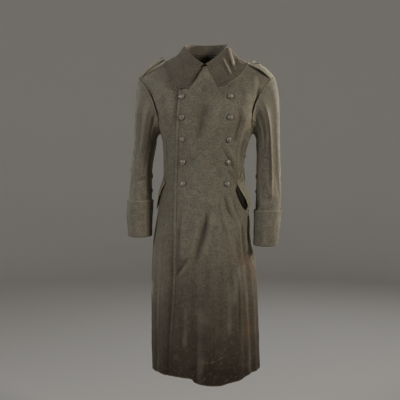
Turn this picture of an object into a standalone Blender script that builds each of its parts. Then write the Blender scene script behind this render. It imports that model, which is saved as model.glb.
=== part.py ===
"""Double-breasted wool greatcoat in the shape it takes when worn, empty inside.

Metres, +Z up, front towards -Y. The origin is the middle of the neck opening, where the coat's
weight hangs on its wearer. Left and right in names are the wearer's: +X is the wearer's left.
Every panel is an open surface through sections of a worn coat, thickened inwards by the cloth.
"""

import math

import bpy
from mathutils import Vector
from mathutils.bvhtree import BVHTree

# Cloth and its joins
CLOTH = 0.0028
BODY_SEAM = 0.0010  # outer edges at a body seam, so that the cut edges inside stay 0.3 mm apart
SLEEVE_SEAM = 0.0018
LAID = 0.0004  # a piece that lies on another keeps this to it
LAID_WIDE = 0.0009  # the same for a wide piece, whose flats cut across the rounds below

# Driving places of the cut
ARMPIT_Z = -0.287
SHOULDER_TIP = (0.250, -0.080)  # X and Z of the shoulder seam's outer end
SHOULDER_SLOPE = 0.558
NECK_HALF_WIDTH = 0.080
NECK_FRONT_Z = -0.047
NECK_BACK_Z = 0.005
BODY_ROUNDING = 2.35  # exponent of the body's sections, 2 is an ellipse
SHOULDER_ROUNDING = 2.3
SIDE_RADIUS = 0.30  # turns a body seam's width into degrees

# The double-breasted overlap, measured from the middle
OUTER_EDGE_TOP = -0.089
UNDER_EDGE = 0.086
EDGE_CORNER_Z = -0.078
OVERLAP_LIFT = CLOTH + 0.0026  # the facing's turned edge holds the two fronts this far apart

# Grid density
LOWER_ROWS = 16
EDGE_ROWS = 5
NECK_ROWS = 4
SEAM_ROW = 0.96  # a last row this share of the way up to the shoulder seam keeps its edge square
FRONT_COLUMNS = 18
BACK_COLUMNS = 10
SLEEVE_SIDES = 22
UNDER_SIDES = 8
CAP_SHARES = (0, 0.1, 0.24, 0.42, 0.6, 0.8)  # rows from the armhole seam to the first ring
RING_ROWS = 8
CUFF_ROWS = 4
FLAP_ROWS = 6
FLAP_COLUMNS = 4

FORM_HALF_WIDTH = 0.262  # the upper body's closed-up copy, for laying pieces on, is this wide
FORM_STEPS_ACROSS = 40
FORM_STEPS_UP = 26
RAY_MARGIN = 0.00001  # a ray that meets the line between two flats still counts as a hit

BUTTON_RADIUS = 0.0100
STRAP_BUTTON_RADIUS = 0.0070


def table(names, *rows):
    """Rows with named columns."""
    return [dict(zip(names.split(), row, strict=True)) for row in rows]


# Body sections: half-widths to each side of the middle, half-depths to front and back
SECTIONS = table(
    "z left right front back",
    (-1.240, 0.204, 0.196, 0.170, 0.166),
    (-0.960, 0.195, 0.201, 0.158, 0.153),
    (-0.780, 0.185, 0.198, 0.148, 0.142),
    (-0.735, 0.175, 0.197, 0.144, 0.138),
    (-0.690, 0.166, 0.195, 0.140, 0.134),
    (-0.600, 0.160, 0.185, 0.132, 0.126),
    (-0.510, 0.149, 0.172, 0.122, 0.110),
    (-0.450, 0.143, 0.160, 0.116, 0.099),
    (-0.395, 0.141, 0.157, 0.115, 0.097),
    (-0.345, 0.148, 0.160, 0.120, 0.104),
    (-0.287, 0.171, 0.171, 0.126, 0.115),
    (-0.250, 0.198, 0.198, 0.128, 0.118),
    (-0.200, 0.240, 0.240, 0.128, 0.120),
    (-0.140, 0.277, 0.277, 0.125, 0.118),
    (-0.060, 0.305, 0.305, 0.118, 0.112),
    (0.070, 0.320, 0.320, 0.110, 0.105),
)

# Front edge of the outer front, and the height of the hem round the body
OUTER_EDGE = table(
    "z x",
    (-1.240, -0.126),
    (-1.050, -0.122),
    (-0.840, -0.110),
    (-0.530, -0.108),
    (-0.280, -0.100),
    (-0.078, OUTER_EDGE_TOP),
)
HEM = table(
    "angle z",
    (-180, -1.172),
    (-90, -1.172),
    (-40, -1.168),
    (-15, -1.171),
    (-6, -1.184),
    (12, -1.197),
    (30, -1.184),
    (55, -1.166),
    (90, -1.163),
    (180, -1.172),
)

# Armhole seam, from the underarm up to the shoulder tip
ARMHOLE = table(
    "z front back",
    (-0.287, 0.1710, 0.1710),
    (-0.272, 0.1705, 0.1730),
    (-0.250, 0.1710, 0.1760),
    (-0.215, 0.1750, 0.1810),
    (-0.165, 0.1900, 0.1950),
    (-0.112, 0.2220, 0.2250),
    (-0.080, 0.2500, 0.2500),
)

# Largest folds: an angle round the body and a height at each end, how far the fold stands out
# (a trough is negative), its half-width in degrees, and whether it runs on to the hem
FOLDS = table(
    "angle_top z_top angle_low z_low rise spread to_hem",
    (4, -0.56, -9, -1.20, -0.006, 8, True),
    (10, -0.62, 3, -1.20, 0.007, 9, True),
    (24, -0.60, 22, -1.20, -0.006, 8, True),
    (33, -0.55, 36, -1.20, 0.010, 10, True),
    (52, -0.60, 60, -1.20, -0.006, 10, True),
    (-38, -0.60, -42, -1.20, 0.006, 12, True),
    (-58, -0.62, -62, -1.20, -0.006, 11, True),
    (-82, -0.55, -86, -1.20, 0.006, 12, True),
    (112, -0.52, 118, -1.20, 0.009, 13, True),
    (140, -0.56, 144, -1.20, -0.009, 12, True),
    (165, -0.60, 168, -1.20, 0.007, 11, True),
    (-112, -0.55, -116, -1.20, -0.007, 11, True),
    (-136, -0.50, -142, -1.20, 0.010, 13, True),
    (-162, -0.58, -166, -1.20, -0.008, 11, True),
    (34, -0.16, 16, -0.34, 0.004, 9, False),
    (-52, -0.18, -42, -0.38, -0.004, 9, False),
    (128, -0.14, 140, -0.34, 0.006, 10, False),
    (-128, -0.14, -142, -0.34, 0.006, 10, False),
)

# Sleeve rings below the armhole: inner and outer faces measured from the middle, fore-and-aft
# middle and half-depth
SLEEVES = {
    "left": table(
        "z inner outer middle depth",
        (-0.330, 0.186, 0.2735, 0.004, 0.068),
        (-0.400, 0.187, 0.2765, 0.006, 0.063),
        (-0.480, 0.186, 0.2780, 0.006, 0.060),
        (-0.560, 0.185, 0.2775, -0.010, 0.060),
        (-0.630, 0.183, 0.2710, -0.026, 0.061),
        (-0.697, 0.180, 0.2620, -0.040, 0.061),
    ),
    "right": table(
        "z inner outer middle depth",
        (-0.330, 0.190, 0.2735, 0.004, 0.068),
        (-0.400, 0.203, 0.2830, 0.006, 0.062),
        (-0.480, 0.206, 0.2880, 0.004, 0.059),
        (-0.540, 0.206, 0.2910, -0.008, 0.060),
        (-0.600, 0.206, 0.2920, -0.020, 0.061),
        (-0.668, 0.205, 0.2870, -0.032, 0.061),
    ),
}
CUFF_TOPS = {"left": -0.570, "right": -0.536}
CUFF_LIFT = CLOTH + 0.0009
CUFF_DROP = 0.003  # the cuff's fold reaches this far below the sleeve's own edge
SLEEVE_ROUNDING = 2.15
FRONT_SEAM_TURN = 128
BACK_SEAM_TURN = 246
ARM_RADIUS = 0.055  # turns a sleeve seam's width into degrees

# Sleeve head: how far it leads outwards from the armhole before it falls, and at its outermost line
SLEEVE_FULLNESS = 0.9
CAP_LEAD = 0.24
OUTERMOST_LEAD = {"left": 0.125, "right": 0.120}
CAP_FALL = 0.42

# Collar stations round the neck: the fold line, and the outer edge of the fall. The first and
# last rows repeat a neighbour from the other side, so that the back is one smooth curve.
COLLAR = table(
    "turn fold_x fold_y fold_z edge_x edge_y edge_z",
    (-230, 0.060, 0.046, 0.048, 0.116, 0.075, -0.052),
    (-180, 0.000, 0.080, 0.050, 0.000, 0.095, -0.055),
    (-130, -0.060, 0.046, 0.048, -0.116, 0.075, -0.052),
    (-90, -0.078, -0.018, 0.040, -0.148, -0.015, -0.032),
    (-62, -0.066, -0.060, 0.020, -0.130, -0.070, -0.086),
    (-35, -0.040, -0.088, -0.010, -0.100, -0.100, -0.124),
    (-5, -0.005, -0.098, -0.034, -0.064, -0.110, -0.131),
    (5, 0.006, -0.098, -0.034, 0.054, -0.110, -0.129),
    (35, 0.040, -0.088, -0.010, 0.094, -0.100, -0.108),
    (62, 0.066, -0.060, 0.020, 0.134, -0.070, -0.076),
    (90, 0.078, -0.018, 0.040, 0.156, -0.015, -0.028),
    (130, 0.060, 0.046, 0.048, 0.118, 0.075, -0.050),
    (180, 0.000, 0.080, 0.050, 0.000, 0.095, -0.055),
    (230, -0.060, 0.046, 0.048, -0.116, 0.075, -0.052),
)
COLLAR_ENDS = (-5, 5)
COLLAR_COLUMNS = 36
COLLAR_GAP = 0.0022  # half of the space between stand and fall
COLLAR_LAID = 0.0021
STAND_CENTRE_Y = -0.012  # the stand leans in towards this place from all round the neckline
STAND_INSET = 0.0010
STAND_RAISE = 0.0014
FALL_ROWS = 6

# Shoulder straps: where they start and end, how far forward they lie, how far the free end and
# the middle stand up, and the row that the button sits on
STRAPS = {
    "left": {"outer": 0.254, "inner": 0.170, "forward": -0.033, "rise": 0.012, "arch": 0.005, "button": 6},
    "right": {"outer": 0.254, "inner": 0.152, "forward": -0.006, "rise": 0.012, "arch": 0.003, "button": 7},
}
STRAP_ROWS = 8
STRAP_HALF_WIDTH = 0.024
STRAP_SEWN_WIDTH = 0.86  # share of the full width at the armhole
STRAP_END = 0.28  # share of the length that the rounded end takes
STRAP_CROWN = 0.0015
STRAP_LAID = 0.0006

# Pocket flaps: angle and height of the upper and the lower end of the sewn and of the free edge,
# and how far the flap gapes
FLAPS = {
    "left": {
        "sewn": ((67, -0.434), (97, -0.540)),
        "free": ((50, -0.466), (71, -0.566)),
        "gape": 0.010,
    },
    "right": {
        "sewn": ((-74, -0.452), (-98, -0.548)),
        "free": ((-60, -0.470), (-83, -0.570)),
        "gape": 0.005,
    },
}
FLAP_BELLY = 0.5  # how soon the gape grows from the sewn edge
FLAP_BOW = (0.12, 0.92)  # shares of a half wave that the gape follows from the upper to the lower end

BUTTONS = table(
    "row a_x b_x z",
    (1, -0.080, 0.095, -0.157),
    (2, -0.080, 0.095, -0.232),
    (3, -0.079, 0.090, -0.312),
    (4, -0.078, 0.086, -0.393),
    (5, -0.076, 0.083, -0.472),
)

MATERIALS = {
    "wool": ((0.128, 0.108, 0.082, 1), 0.95, 0.0),
    "trim_wool": ((0.205, 0.205, 0.150, 1), 0.95, 0.0),
    "button_metal": ((0.300, 0.290, 0.260, 1), 0.55, 0.8),
}


def clear_scene():
    for obj in list(bpy.data.objects):
        bpy.data.objects.remove(obj, do_unlink=True)


def smooth(value):
    """Eased step from 0 to 1."""
    value = min(1.0, max(0.0, value))
    return value * value * (3 - 2 * value)


def read_at(rows, key, name, place):
    """A column of a table read at a place along its key column, as a smooth curve through the rows."""
    keys = [row[key] for row in rows]
    step = 1 if keys[-1] > keys[0] else -1
    place = min(max(place, min(keys)), max(keys))
    last = len(rows) - 2
    i = min(last, max(0, sum(1 for k in keys if (place - k) * step >= 0) - 1))

    def slope(n):
        low, high = max(0, n - 1), min(len(rows) - 1, n + 1)
        return (rows[high][name] - rows[low][name]) / (keys[high] - keys[low])

    span = keys[i + 1] - keys[i]
    t = (place - keys[i]) / span
    rise = rows[i + 1][name] - rows[i][name]
    a = slope(i) * span - rise
    b = rise - slope(i + 1) * span
    return rows[i][name] + t * rise + t * (1 - t) * ((1 - t) * a + t * b)


def half_width(x, z):
    return read_at(SECTIONS, "z", "left" if x >= 0 else "right", z)


def half_depth(is_back, z):
    return read_at(SECTIONS, "z", "back" if is_back else "front", z)


def shoulder_z(x):
    """Height of the shoulder line at a distance from the middle."""
    return SHOULDER_TIP[1] + (SHOULDER_TIP[0] - abs(x)) * SHOULDER_SLOPE


def angle_of(x, z, is_back):
    """Degrees round the body: 0 at centre front, 90 at the wearer's left side, 180 at centre back."""
    share = min(1.0, abs(x) / half_width(x, z)) ** (BODY_ROUNDING / 2)
    turn = math.degrees(math.asin(share))
    return math.copysign(180 - turn if is_back else turn, x)


def fold_rise(angle, z):
    """How far the folds move the cloth outwards there."""
    total = 0.0
    for fold in FOLDS:
        along = (fold["z_top"] - z) / (fold["z_top"] - fold["z_low"])
        if along <= 0 or (along >= 1 and not fold["to_hem"]):
            continue
        middle = fold["angle_top"] + (fold["angle_low"] - fold["angle_top"]) * along
        across = abs((angle - middle + 180) % 360 - 180) / fold["spread"]
        if across >= 1:
            continue
        ends = smooth(along / 0.35)
        if not fold["to_hem"]:
            ends *= smooth((1 - along) / 0.35)
        total += fold["rise"] * ends * (0.5 + 0.5 * math.cos(math.pi * across))
    return total


def overlap_lift(x, z):
    """The outer front lies over the under front, and comes back to the body past its edge."""
    past_edge = smooth((x - UNDER_EDGE - 0.006) / 0.045)
    at_neck = smooth((z + 0.036) / 0.03)
    return OVERLAP_LIFT * (1 - past_edge) * (1 - at_neck)


def no_lift(x, z):
    return 0.0


def body_point(x, z, is_back, lift=0.0, depth=None):
    """A point of the coat body's outer surface, moved out by its folds and by a lift."""
    width = half_width(x, z)
    across = min(1.0, abs(x) / width)
    if depth is None:
        depth = half_depth(is_back, z) * (1 - across**BODY_ROUNDING) ** (1 / BODY_ROUNDING)
    if z > ARMPIT_Z:
        up = min(1.0, (z - ARMPIT_Z) / (shoulder_z(x) - ARMPIT_Z))
        depth *= (1 - up**SHOULDER_ROUNDING) ** (1 / SHOULDER_ROUNDING)
    y = depth if is_back else -depth
    power = BODY_ROUNDING - 1
    reach = half_depth(is_back, z)
    out_x = math.copysign(across**power / width, x)
    out_y = math.copysign((depth / reach) ** power / reach, y)
    out = Vector((out_x, out_y, 0)).normalized()
    return Vector((x, y, z)) + out * (lift + fold_rise(angle_of(x, z, is_back), z))


def round_point(angle, z, lift=0.0):
    """The same surface read at an angle round the body, which also suits its steep sides."""
    turn = math.radians(angle)
    is_back = math.cos(turn) < 0
    width = half_width(math.sin(turn), z)
    x = math.copysign(width * abs(math.sin(turn)) ** (2 / BODY_ROUNDING), math.sin(turn))
    depth = half_depth(is_back, z) * abs(math.cos(turn)) ** (2 / BODY_ROUNDING)
    return body_point(x, z, is_back, lift, depth)


def armhole_xz(share, is_back):
    """X and Z on the armhole seam, 0 at the underarm and 1 at the shoulder tip."""
    low, high = ARMHOLE[0]["z"], ARMHOLE[-1]["z"]
    z = low + (high - low) * (0.5 - 0.5 * math.cos(math.pi * share)) ** 0.85
    return read_at(ARMHOLE, "z", "back" if is_back else "front", z), z


def neckline_xz(share, is_back):
    """X and Z on the neckline, 0 in the middle and 1 at the shoulder line."""
    turn = share * math.pi / 2
    low = NECK_BACK_Z if is_back else NECK_FRONT_Z
    return (
        NECK_HALF_WIDTH * math.sin(turn),
        low + (shoulder_z(NECK_HALF_WIDTH) - low) * (1 - math.cos(turn)),
    )


def part_edge_x(side, z):
    """Where a front's own edge lies, on the far side of the middle."""
    return -read_at(OUTER_EDGE, "z", "x", z) if side > 0 else UNDER_EDGE


def inner_boundary(side, is_back):
    """X and Z up the panel's inner edge above the armpit, then along the neckline."""
    points = []
    for i in range(1, EDGE_ROWS + 1):
        top = NECK_BACK_Z if is_back else EDGE_CORNER_Z
        z = ARMPIT_Z + (top - ARMPIT_Z) * i / EDGE_ROWS
        points.append((BODY_SEAM / 2 if is_back else -part_edge_x(side, z), z))
    if not is_back:
        corner = points[-1]
        points.append((corner[0] / 2, (corner[1] + NECK_FRONT_Z) / 2 + 0.003))
        points.append((0.0, NECK_FRONT_Z))
    for i in range(1, NECK_ROWS + 1):
        points.append(neckline_xz(i / NECK_ROWS, is_back))
    return points


def upper_ends(side, is_back):
    """Both ends of each row above the armpit, with one more row close to the shoulder seam."""
    inner = inner_boundary(side, is_back)
    ends = [(start, armhole_xz(k / len(inner), is_back)) for k, start in enumerate(inner, 1)]
    near = []
    for low, high in zip(*ends[-2:], strict=True):
        near.append(tuple(a + (b - a) * SEAM_ROW for a, b in zip(low, high, strict=True)))
    return ends[:-1] + [near] + ends[-1:]


def upper_rows(side, is_back, lower_top, lift_of):
    """Rows above the armpit, spread as the last row below it is."""
    base = [side * point.x for point in lower_top]
    shares = [(x - base[0]) / (base[-1] - base[0]) for x in base]
    rows = []
    for (x0, z0), (x1, z1) in upper_ends(side, is_back):
        row = []
        for share in shares:
            x, z = x0 + (x1 - x0) * share, z0 + (z1 - z0) * share
            point = body_point(side * x, z, is_back, lift_of(x, z))
            half_seam = BODY_SEAM / 2
            point.y = max(point.y, half_seam) if is_back else min(point.y, -half_seam)
            row.append(point)
        rows.append(row)
    return rows


def front_grid(side):
    """Rows of a front panel from hem to shoulder; side is +1 for the wearer's left."""
    seam = math.degrees(BODY_SEAM / 2 / SIDE_RADIUS)
    lift_of = overlap_lift if side > 0 else no_lift
    rows = []
    for i in range(LOWER_ROWS + 1):
        row = []
        for j in range(FRONT_COLUMNS + 1):
            z = ARMPIT_Z
            for _ in range(2):
                edge = -part_edge_x(side, z)
                start = -abs(angle_of(edge, z, False))
                angle = side * (start + (90 - seam - start) * j / FRONT_COLUMNS)
                hem = read_at(HEM, "angle", "z", angle)
                z = hem + (ARMPIT_Z - hem) * i / LOWER_ROWS
            flat = round_point(angle, z)
            row.append(round_point(angle, z, lift_of(side * flat.x, z)))
        rows.append(row)
    return rows + upper_rows(side, False, rows[-1], lift_of)


def back_grid(side):
    """Rows of a back panel from hem to shoulder, from the centre seam to the side seam."""
    seam = math.degrees(BODY_SEAM / 2 / SIDE_RADIUS)
    rows = []
    for i in range(LOWER_ROWS + 1):
        row = []
        for j in range(BACK_COLUMNS + 1):
            angle = 180 + (90 + seam - 180) * j / BACK_COLUMNS
            hem = read_at(HEM, "angle", "z", side * angle)
            z = hem + (ARMPIT_Z - hem) * i / LOWER_ROWS
            point = round_point(side * angle, z)
            if j == 0:
                point.x = side * BODY_SEAM / 2
            row.append(point)
        rows.append(row)
    return rows + upper_rows(side, True, rows[-1], no_lift)


def armhole_point(side, turn):
    """The armhole seam read round the arm: 0 outermost, 90 front, 180 underarm, 270 back."""
    is_back = turn > 180
    share = (360 - turn if is_back else turn) / 180
    x, z = armhole_xz(1 - share, is_back)
    point = body_point(side * x, z, is_back)
    if share in (0, 1):
        point.y = 0
    return point


def ring_point(side, name, turn, z, lift=0.0):
    """The sleeve below the armhole, read round the arm."""
    rows = SLEEVES[name]
    inner, outer = (read_at(rows, "z", key, z) for key in ("inner", "outer"))
    half, depth = (outer - inner) / 2 + lift, read_at(rows, "z", "depth", z) + lift
    a = math.radians(turn)
    power = 2 / SLEEVE_ROUNDING
    return Vector(
        (
            side * ((inner + outer) / 2 + math.copysign(half * abs(math.cos(a)) ** power, math.cos(a))),
            read_at(rows, "z", "middle", z) - math.copysign(depth * abs(math.sin(a)) ** power, math.sin(a)),
            z,
        )
    )


def cap_point(side, name, turn, share):
    """The sleeve between the armhole seam and its first ring, which it runs into straight."""
    start = armhole_point(side, turn) + Vector((side * SLEEVE_SEAM, 0, 0))
    first_z, next_z = (row["z"] for row in SLEEVES[name][:2])
    end = ring_point(side, name, turn, first_z)
    length = (end - start).length
    outermost = max(0.0, math.cos(math.radians(turn))) ** 3
    lead = (Vector((side, 0, 0)) * SLEEVE_FULLNESS + (end - start).normalized()).normalized()
    first = start + lead * length * (CAP_LEAD + (OUTERMOST_LEAD[name] - CAP_LEAD) * outermost)
    upwards = (end - ring_point(side, name, turn, next_z)) / (first_z - next_z)
    second = end + upwards * length * CAP_FALL
    t, u = share, 1 - share
    return start * u**3 + first * (3 * u * u * t) + second * (3 * u * t * t) + end * t**3


def sleeve_turns(is_under):
    """Angles round the arm that a sleeve piece covers, with half a seam left at each edge."""
    seam = math.degrees(SLEEVE_SEAM / 2 / ARM_RADIUS)
    if is_under:
        first, last, count = FRONT_SEAM_TURN + seam, BACK_SEAM_TURN - seam, UNDER_SIDES
    else:
        first, last, count = BACK_SEAM_TURN + seam, FRONT_SEAM_TURN + 360 - seam, SLEEVE_SIDES - UNDER_SIDES
    return [(first + (last - first) * i / count) % 360 for i in range(count + 1)]


def sleeve_grid(side, name, is_under):
    rows = []
    turns = sleeve_turns(is_under)
    for share in CAP_SHARES:
        rows.append([cap_point(side, name, turn, share) for turn in turns])
    top, low = SLEEVES[name][0]["z"], SLEEVES[name][-1]["z"] + CUFF_DROP
    for i in range(RING_ROWS + 1):
        z = top + (low - top) * i / RING_ROWS
        rows.append([ring_point(side, name, turn, z) for turn in turns])
    return rows[::-1]


def cuff_grid(side, name, is_under):
    """The turned-back cuff, a little wider at its free top edge."""
    turns = sleeve_turns(is_under)
    low, top = SLEEVES[name][-1]["z"], CUFF_TOPS[name]
    rows = []
    for i in range(CUFF_ROWS + 1):
        share = i / CUFF_ROWS
        z = low + (top - low) * share
        rows.append([ring_point(side, name, turn, z, CUFF_LIFT + 0.003 * share**2) for turn in turns])
    return rows


def faces_of(row_count, column_count, flip):
    """Quads of a grid whose points are listed row by row."""
    faces = []
    for i in range(row_count - 1):
        for j in range(column_count - 1):
            a = i * column_count + j
            quad = (a, a + 1, a + column_count + 1, a + column_count)
            faces.append(quad[::-1] if flip else quad)
    return faces


def body_form():
    """A closed-up copy of the upper body's surface, which collar and straps are laid on."""
    points, faces = [], []
    for is_back in (False, True):
        first = len(points)
        for i in range(FORM_STEPS_UP + 1):
            for j in range(FORM_STEPS_ACROSS + 1):
                x = FORM_HALF_WIDTH * (2 * j / FORM_STEPS_ACROSS - 1)
                share = math.sin(math.pi / 2 * i / FORM_STEPS_UP)
                z = ARMPIT_Z + (shoulder_z(x) - ARMPIT_Z) * share
                points.append(body_point(x, z, is_back, 0.0 if is_back else overlap_lift(x, z)))
        for quad in faces_of(FORM_STEPS_UP + 1, FORM_STEPS_ACROSS + 1, is_back):
            faces.append(tuple(first + k for k in quad))
    return BVHTree.FromPolygons(points, faces)


def height_over(form, point):
    """Nearest point of the form, its outward normal there, and the signed height over it."""
    place, normal, _, _ = form.find_nearest(point)
    return place, normal, (point - place).dot(normal)


def grids_tree(grids):
    """One search tree over the flats of several panels, all facing out."""
    points, faces = [], []
    for rows in grids:
        first = len(points)
        points += [point for row in rows for point in row]
        faces += [tuple(first + k for k in quad) for quad in faces_of(len(rows), len(rows[0]), False)]
    return BVHTree.FromPolygons(points, faces, epsilon=RAY_MARGIN)


def kept_off(panels, point, clearance):
    """The point, moved out of the panels where it lies closer to them than its clearance."""
    for _ in range(3):
        place, normal, height = height_over(panels, point)
        if height >= clearance:
            break
        point = place + normal * (clearance + 0.0001)
    return point


def collar_section(form, panels, turn):
    """One section of the collar: up the stand, over the fold and down the fall to its edge."""
    share = abs(turn) / 90
    is_back = share > 1
    x, z = neckline_xz(2 - share if is_back else share, is_back)
    base = body_point(math.copysign(x, turn), z, is_back)
    fold = Vector([read_at(COLLAR, "turn", "fold_" + axis, turn) for axis in "xyz"])
    edge = Vector([read_at(COLLAR, "turn", "edge_" + axis, turn) for axis in "xyz"])
    inward = Vector((-base.x, STAND_CENTRE_Y - base.y, 0)).normalized()
    outward = (edge - fold).normalized()
    outward.z = 0
    outward.normalize()
    base += inward * STAND_INSET + Vector((0, 0, STAND_RAISE))
    under_fold = fold + Vector((0, 0, -CLOTH - COLLAR_GAP))
    points = [base.lerp(under_fold - outward * COLLAR_GAP, t) for t in (0, 0.5, 1)]
    for angle in (45, 90, 135):
        a = math.radians(angle)
        turned = Vector((0, 0, math.sin(a))) - outward * math.cos(a)
        points.append(under_fold + turned * COLLAR_GAP)
    start = under_fold + outward * COLLAR_GAP
    for i in range(FALL_ROWS + 1):
        t = i / FALL_ROWS
        point = start.lerp(edge, t)
        place, normal, height = height_over(form, point)
        if t > 0:
            point = place + normal * max(COLLAR_LAID, height * (1 - smooth(t / 0.8)))
        points.append(kept_off(panels, point, COLLAR_LAID))
    return points


def collar_grid(form, panels):
    right_end, left_end = COLLAR_ENDS
    sections = []
    for i in range(COLLAR_COLUMNS + 1):
        turn = left_end + (360 + right_end - left_end) * i / COLLAR_COLUMNS
        sections.append(collar_section(form, panels, turn if turn <= 180 else turn - 360))
    return [list(row) for row in zip(*sections, strict=True)]


def strap_grid(form, panels, side, size):
    """A shoulder strap from the armhole in to its free, rounded end."""
    rows = []
    for i in range(STRAP_ROWS + 1):
        t = i / STRAP_ROWS
        x = size["outer"] + (size["inner"] - size["outer"]) * t
        past_straight = max(0.0, (t - 1 + STRAP_END) / STRAP_END)
        taper = STRAP_SEWN_WIDTH if i == 0 else math.sqrt(1 - (1 - STRAP_END) * past_straight**2)
        row = []
        for across in (-1, -0.5, 0, 0.5, 1):
            y = size["forward"] + STRAP_HALF_WIDTH * taper * across
            under = panels if i < 2 else form
            place, normal, _ = height_over(under, Vector((side * x, y, shoulder_z(x) + 0.004)))
            crown = STRAP_CROWN * smooth(t / 0.3) * (1 - across * across)
            lift = LAID + size["rise"] * smooth(t) + size["arch"] * math.sin(math.pi * t) + crown
            row.append(kept_off(panels, place + normal * lift, STRAP_LAID))
        rows.append(row)
    return rows


def strap_top(rows, i):
    """The middle of the strap's upper side at a row near its free end, where its button stands."""
    here, along, across = rows[i][2], rows[i + 1][2] - rows[i - 1][2], rows[i][3] - rows[i][1]
    normal = along.cross(across).normalized()
    normal = normal if normal.z > 0 else -normal
    return here + normal * CLOTH, normal


def flap_grid(panels, size):
    """A pocket flap from its sewn edge to its free edge, which gapes."""
    rows = []
    for i in range(FLAP_ROWS + 1):
        u = i / FLAP_ROWS
        row = []
        for j in range(FLAP_COLUMNS + 1):
            v = j / FLAP_COLUMNS
            sewn, free = (
                [a + (b - a) * u for a, b in zip(*size[edge], strict=True)] for edge in ("sewn", "free")
            )
            angle, z = (a + (b - a) * v for a, b in zip(sewn, free, strict=True))
            bow = math.sin(math.pi * (FLAP_BOW[0] + (FLAP_BOW[1] - FLAP_BOW[0]) * u))
            gape = size["gape"] * bow * v**FLAP_BELLY
            row.append(kept_off(panels, round_point(angle, z, LAID_WIDE + gape), LAID_WIDE))
        rows.append(row)
    return rows


def new_object(name, mesh, material, root, collection):
    obj = bpy.data.objects.new(name, mesh)
    mesh.materials.append(material)
    obj.parent = root
    collection.objects.link(obj)
    return obj


def cloth_piece(name, rows, material, root, collection, thickness_side=-1):
    """An open surface from rows of points, thickened by the cloth's wall."""
    mesh = bpy.data.meshes.new(name)
    points = [point for row in rows for point in row]
    mesh.from_pydata(points, [], faces_of(len(rows), len(rows[0]), False))
    obj = new_object(name, mesh, material, root, collection)
    return thicken(obj, thickness_side)


def thicken(obj, thickness_side):
    solidify = obj.modifiers.new("cloth", "SOLIDIFY")
    solidify.thickness = CLOTH
    solidify.offset = thickness_side
    obj.data.shade_smooth()
    obj.data.set_sharp_from_angle(angle=math.radians(40))
    return obj


def button_profile(radius):
    """From the top of the dome, round the rim and down the shank to its foot."""
    dome = radius * 0.52
    points = [(radius * math.sin(a), dome * math.cos(a)) for a in (0, 0.45, 1.0, math.pi / 2)]
    foot = 0.0018
    return points + [
        (radius * 0.86, -0.0012),
        (radius * 0.36, -0.0012),
        (radius * 0.36, -0.0012 - foot),
        (0.0, -0.0012 - foot),
    ]


def button(name, radius, surface, normal, material, root, collection):
    """A domed button on its shank, standing square on the cloth."""
    mesh = bpy.data.meshes.new(name)
    profile = button_profile(radius)
    mesh.from_pydata([(r, 0, z) for r, z in profile], [(i, i + 1) for i in range(len(profile) - 1)], [])
    obj = new_object(name, mesh, material, root, collection)
    turn = obj.modifiers.new("turn", "SCREW")
    turn.steps = turn.render_steps = 10
    turn.use_merge_vertices = True
    turn.merge_threshold = 0.0001
    obj.rotation_mode = "QUATERNION"
    obj.rotation_quaternion = normal.to_track_quat("Z", "Y")
    obj.location = surface + normal * (LAID - profile[-1][1])
    return obj


def on_front(panels, x, z):
    """The point of the front's outer surface at a given X and Z, and its outward normal."""
    place, normal, _, _ = panels.ray_cast(Vector((x, -0.5, z)), Vector((0, 1, 0)))
    return place, normal


def wearers_side(side):
    return "left" if side > 0 else "right"


def facing(rows, side):
    """Rows in the order that turns their faces outwards on that side of the body."""
    return rows if side > 0 else [row[::-1] for row in rows]


def build():
    clear_scene()
    collection = bpy.data.collections.new("greatcoat")
    bpy.context.scene.collection.children.link(collection)
    root = bpy.data.objects.new("neck", None)
    collection.objects.link(root)
    materials = {}
    for name, (colour, roughness, metallic) in MATERIALS.items():
        material = bpy.data.materials.new(name)
        material.use_nodes = True
        shader = material.node_tree.nodes["Principled BSDF"]
        shader.inputs["Base Color"].default_value = colour
        shader.inputs["Roughness"].default_value = roughness
        shader.inputs["Metallic"].default_value = metallic
        materials[name] = material
    place = {"root": root, "collection": collection}
    wool, trim, metal = (materials[name] for name in MATERIALS)

    form = body_form()
    body = {}
    for side in (1, -1):
        body["front_" + wearers_side(side)] = facing(front_grid(side), side)
        body["back_" + wearers_side(side)] = facing(back_grid(side), -side)
    panels = grids_tree(body.values())
    for name, rows in body.items():
        cloth_piece(name, rows, wool, **place)
    for side in (1, -1):
        name = wearers_side(side)
        for is_under in (False, True):
            part = "under" if is_under else "top"
            sleeve = facing(sleeve_grid(side, name, is_under), -side)
            cuff = facing(cuff_grid(side, name, is_under), -side)
            cloth_piece(f"{part}_sleeve_{name}", sleeve, wool, **place)
            cloth_piece(f"{part}_cuff_{name}", cuff, wool, **place)
        strap = strap_grid(form, panels, side, STRAPS[name])
        cloth_piece("shoulder_strap_" + name, facing(strap, side), trim, thickness_side=1, **place)
        top, normal = strap_top(strap, STRAPS[name]["button"])
        button("strap_button_" + name, STRAP_BUTTON_RADIUS, top, normal, metal, **place)
        flap = flap_grid(panels, FLAPS[name])
        cloth_piece("pocket_flap_" + name, facing(flap, side), trim, thickness_side=1, **place)
    cloth_piece("collar", collar_grid(form, panels), wool, **place)
    for row in BUTTONS:
        for column in "ab":
            surface, normal = on_front(panels, row[column + "_x"], row["z"])
            button(f"button_{column}{row['row']}", BUTTON_RADIUS, surface, normal, metal, **place)


build()
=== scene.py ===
"""Looks of a heavy double-breasted wool greatcoat, hanging in the shape that it takes when worn.

Left and right in names are the wearer's; the front faces -Y, and +X is the wearer's left.
"""

import math

import bpy
import numpy as np
from mathutils import Matrix, Vector, noise
from mathutils.bvhtree import BVHTree


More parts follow.
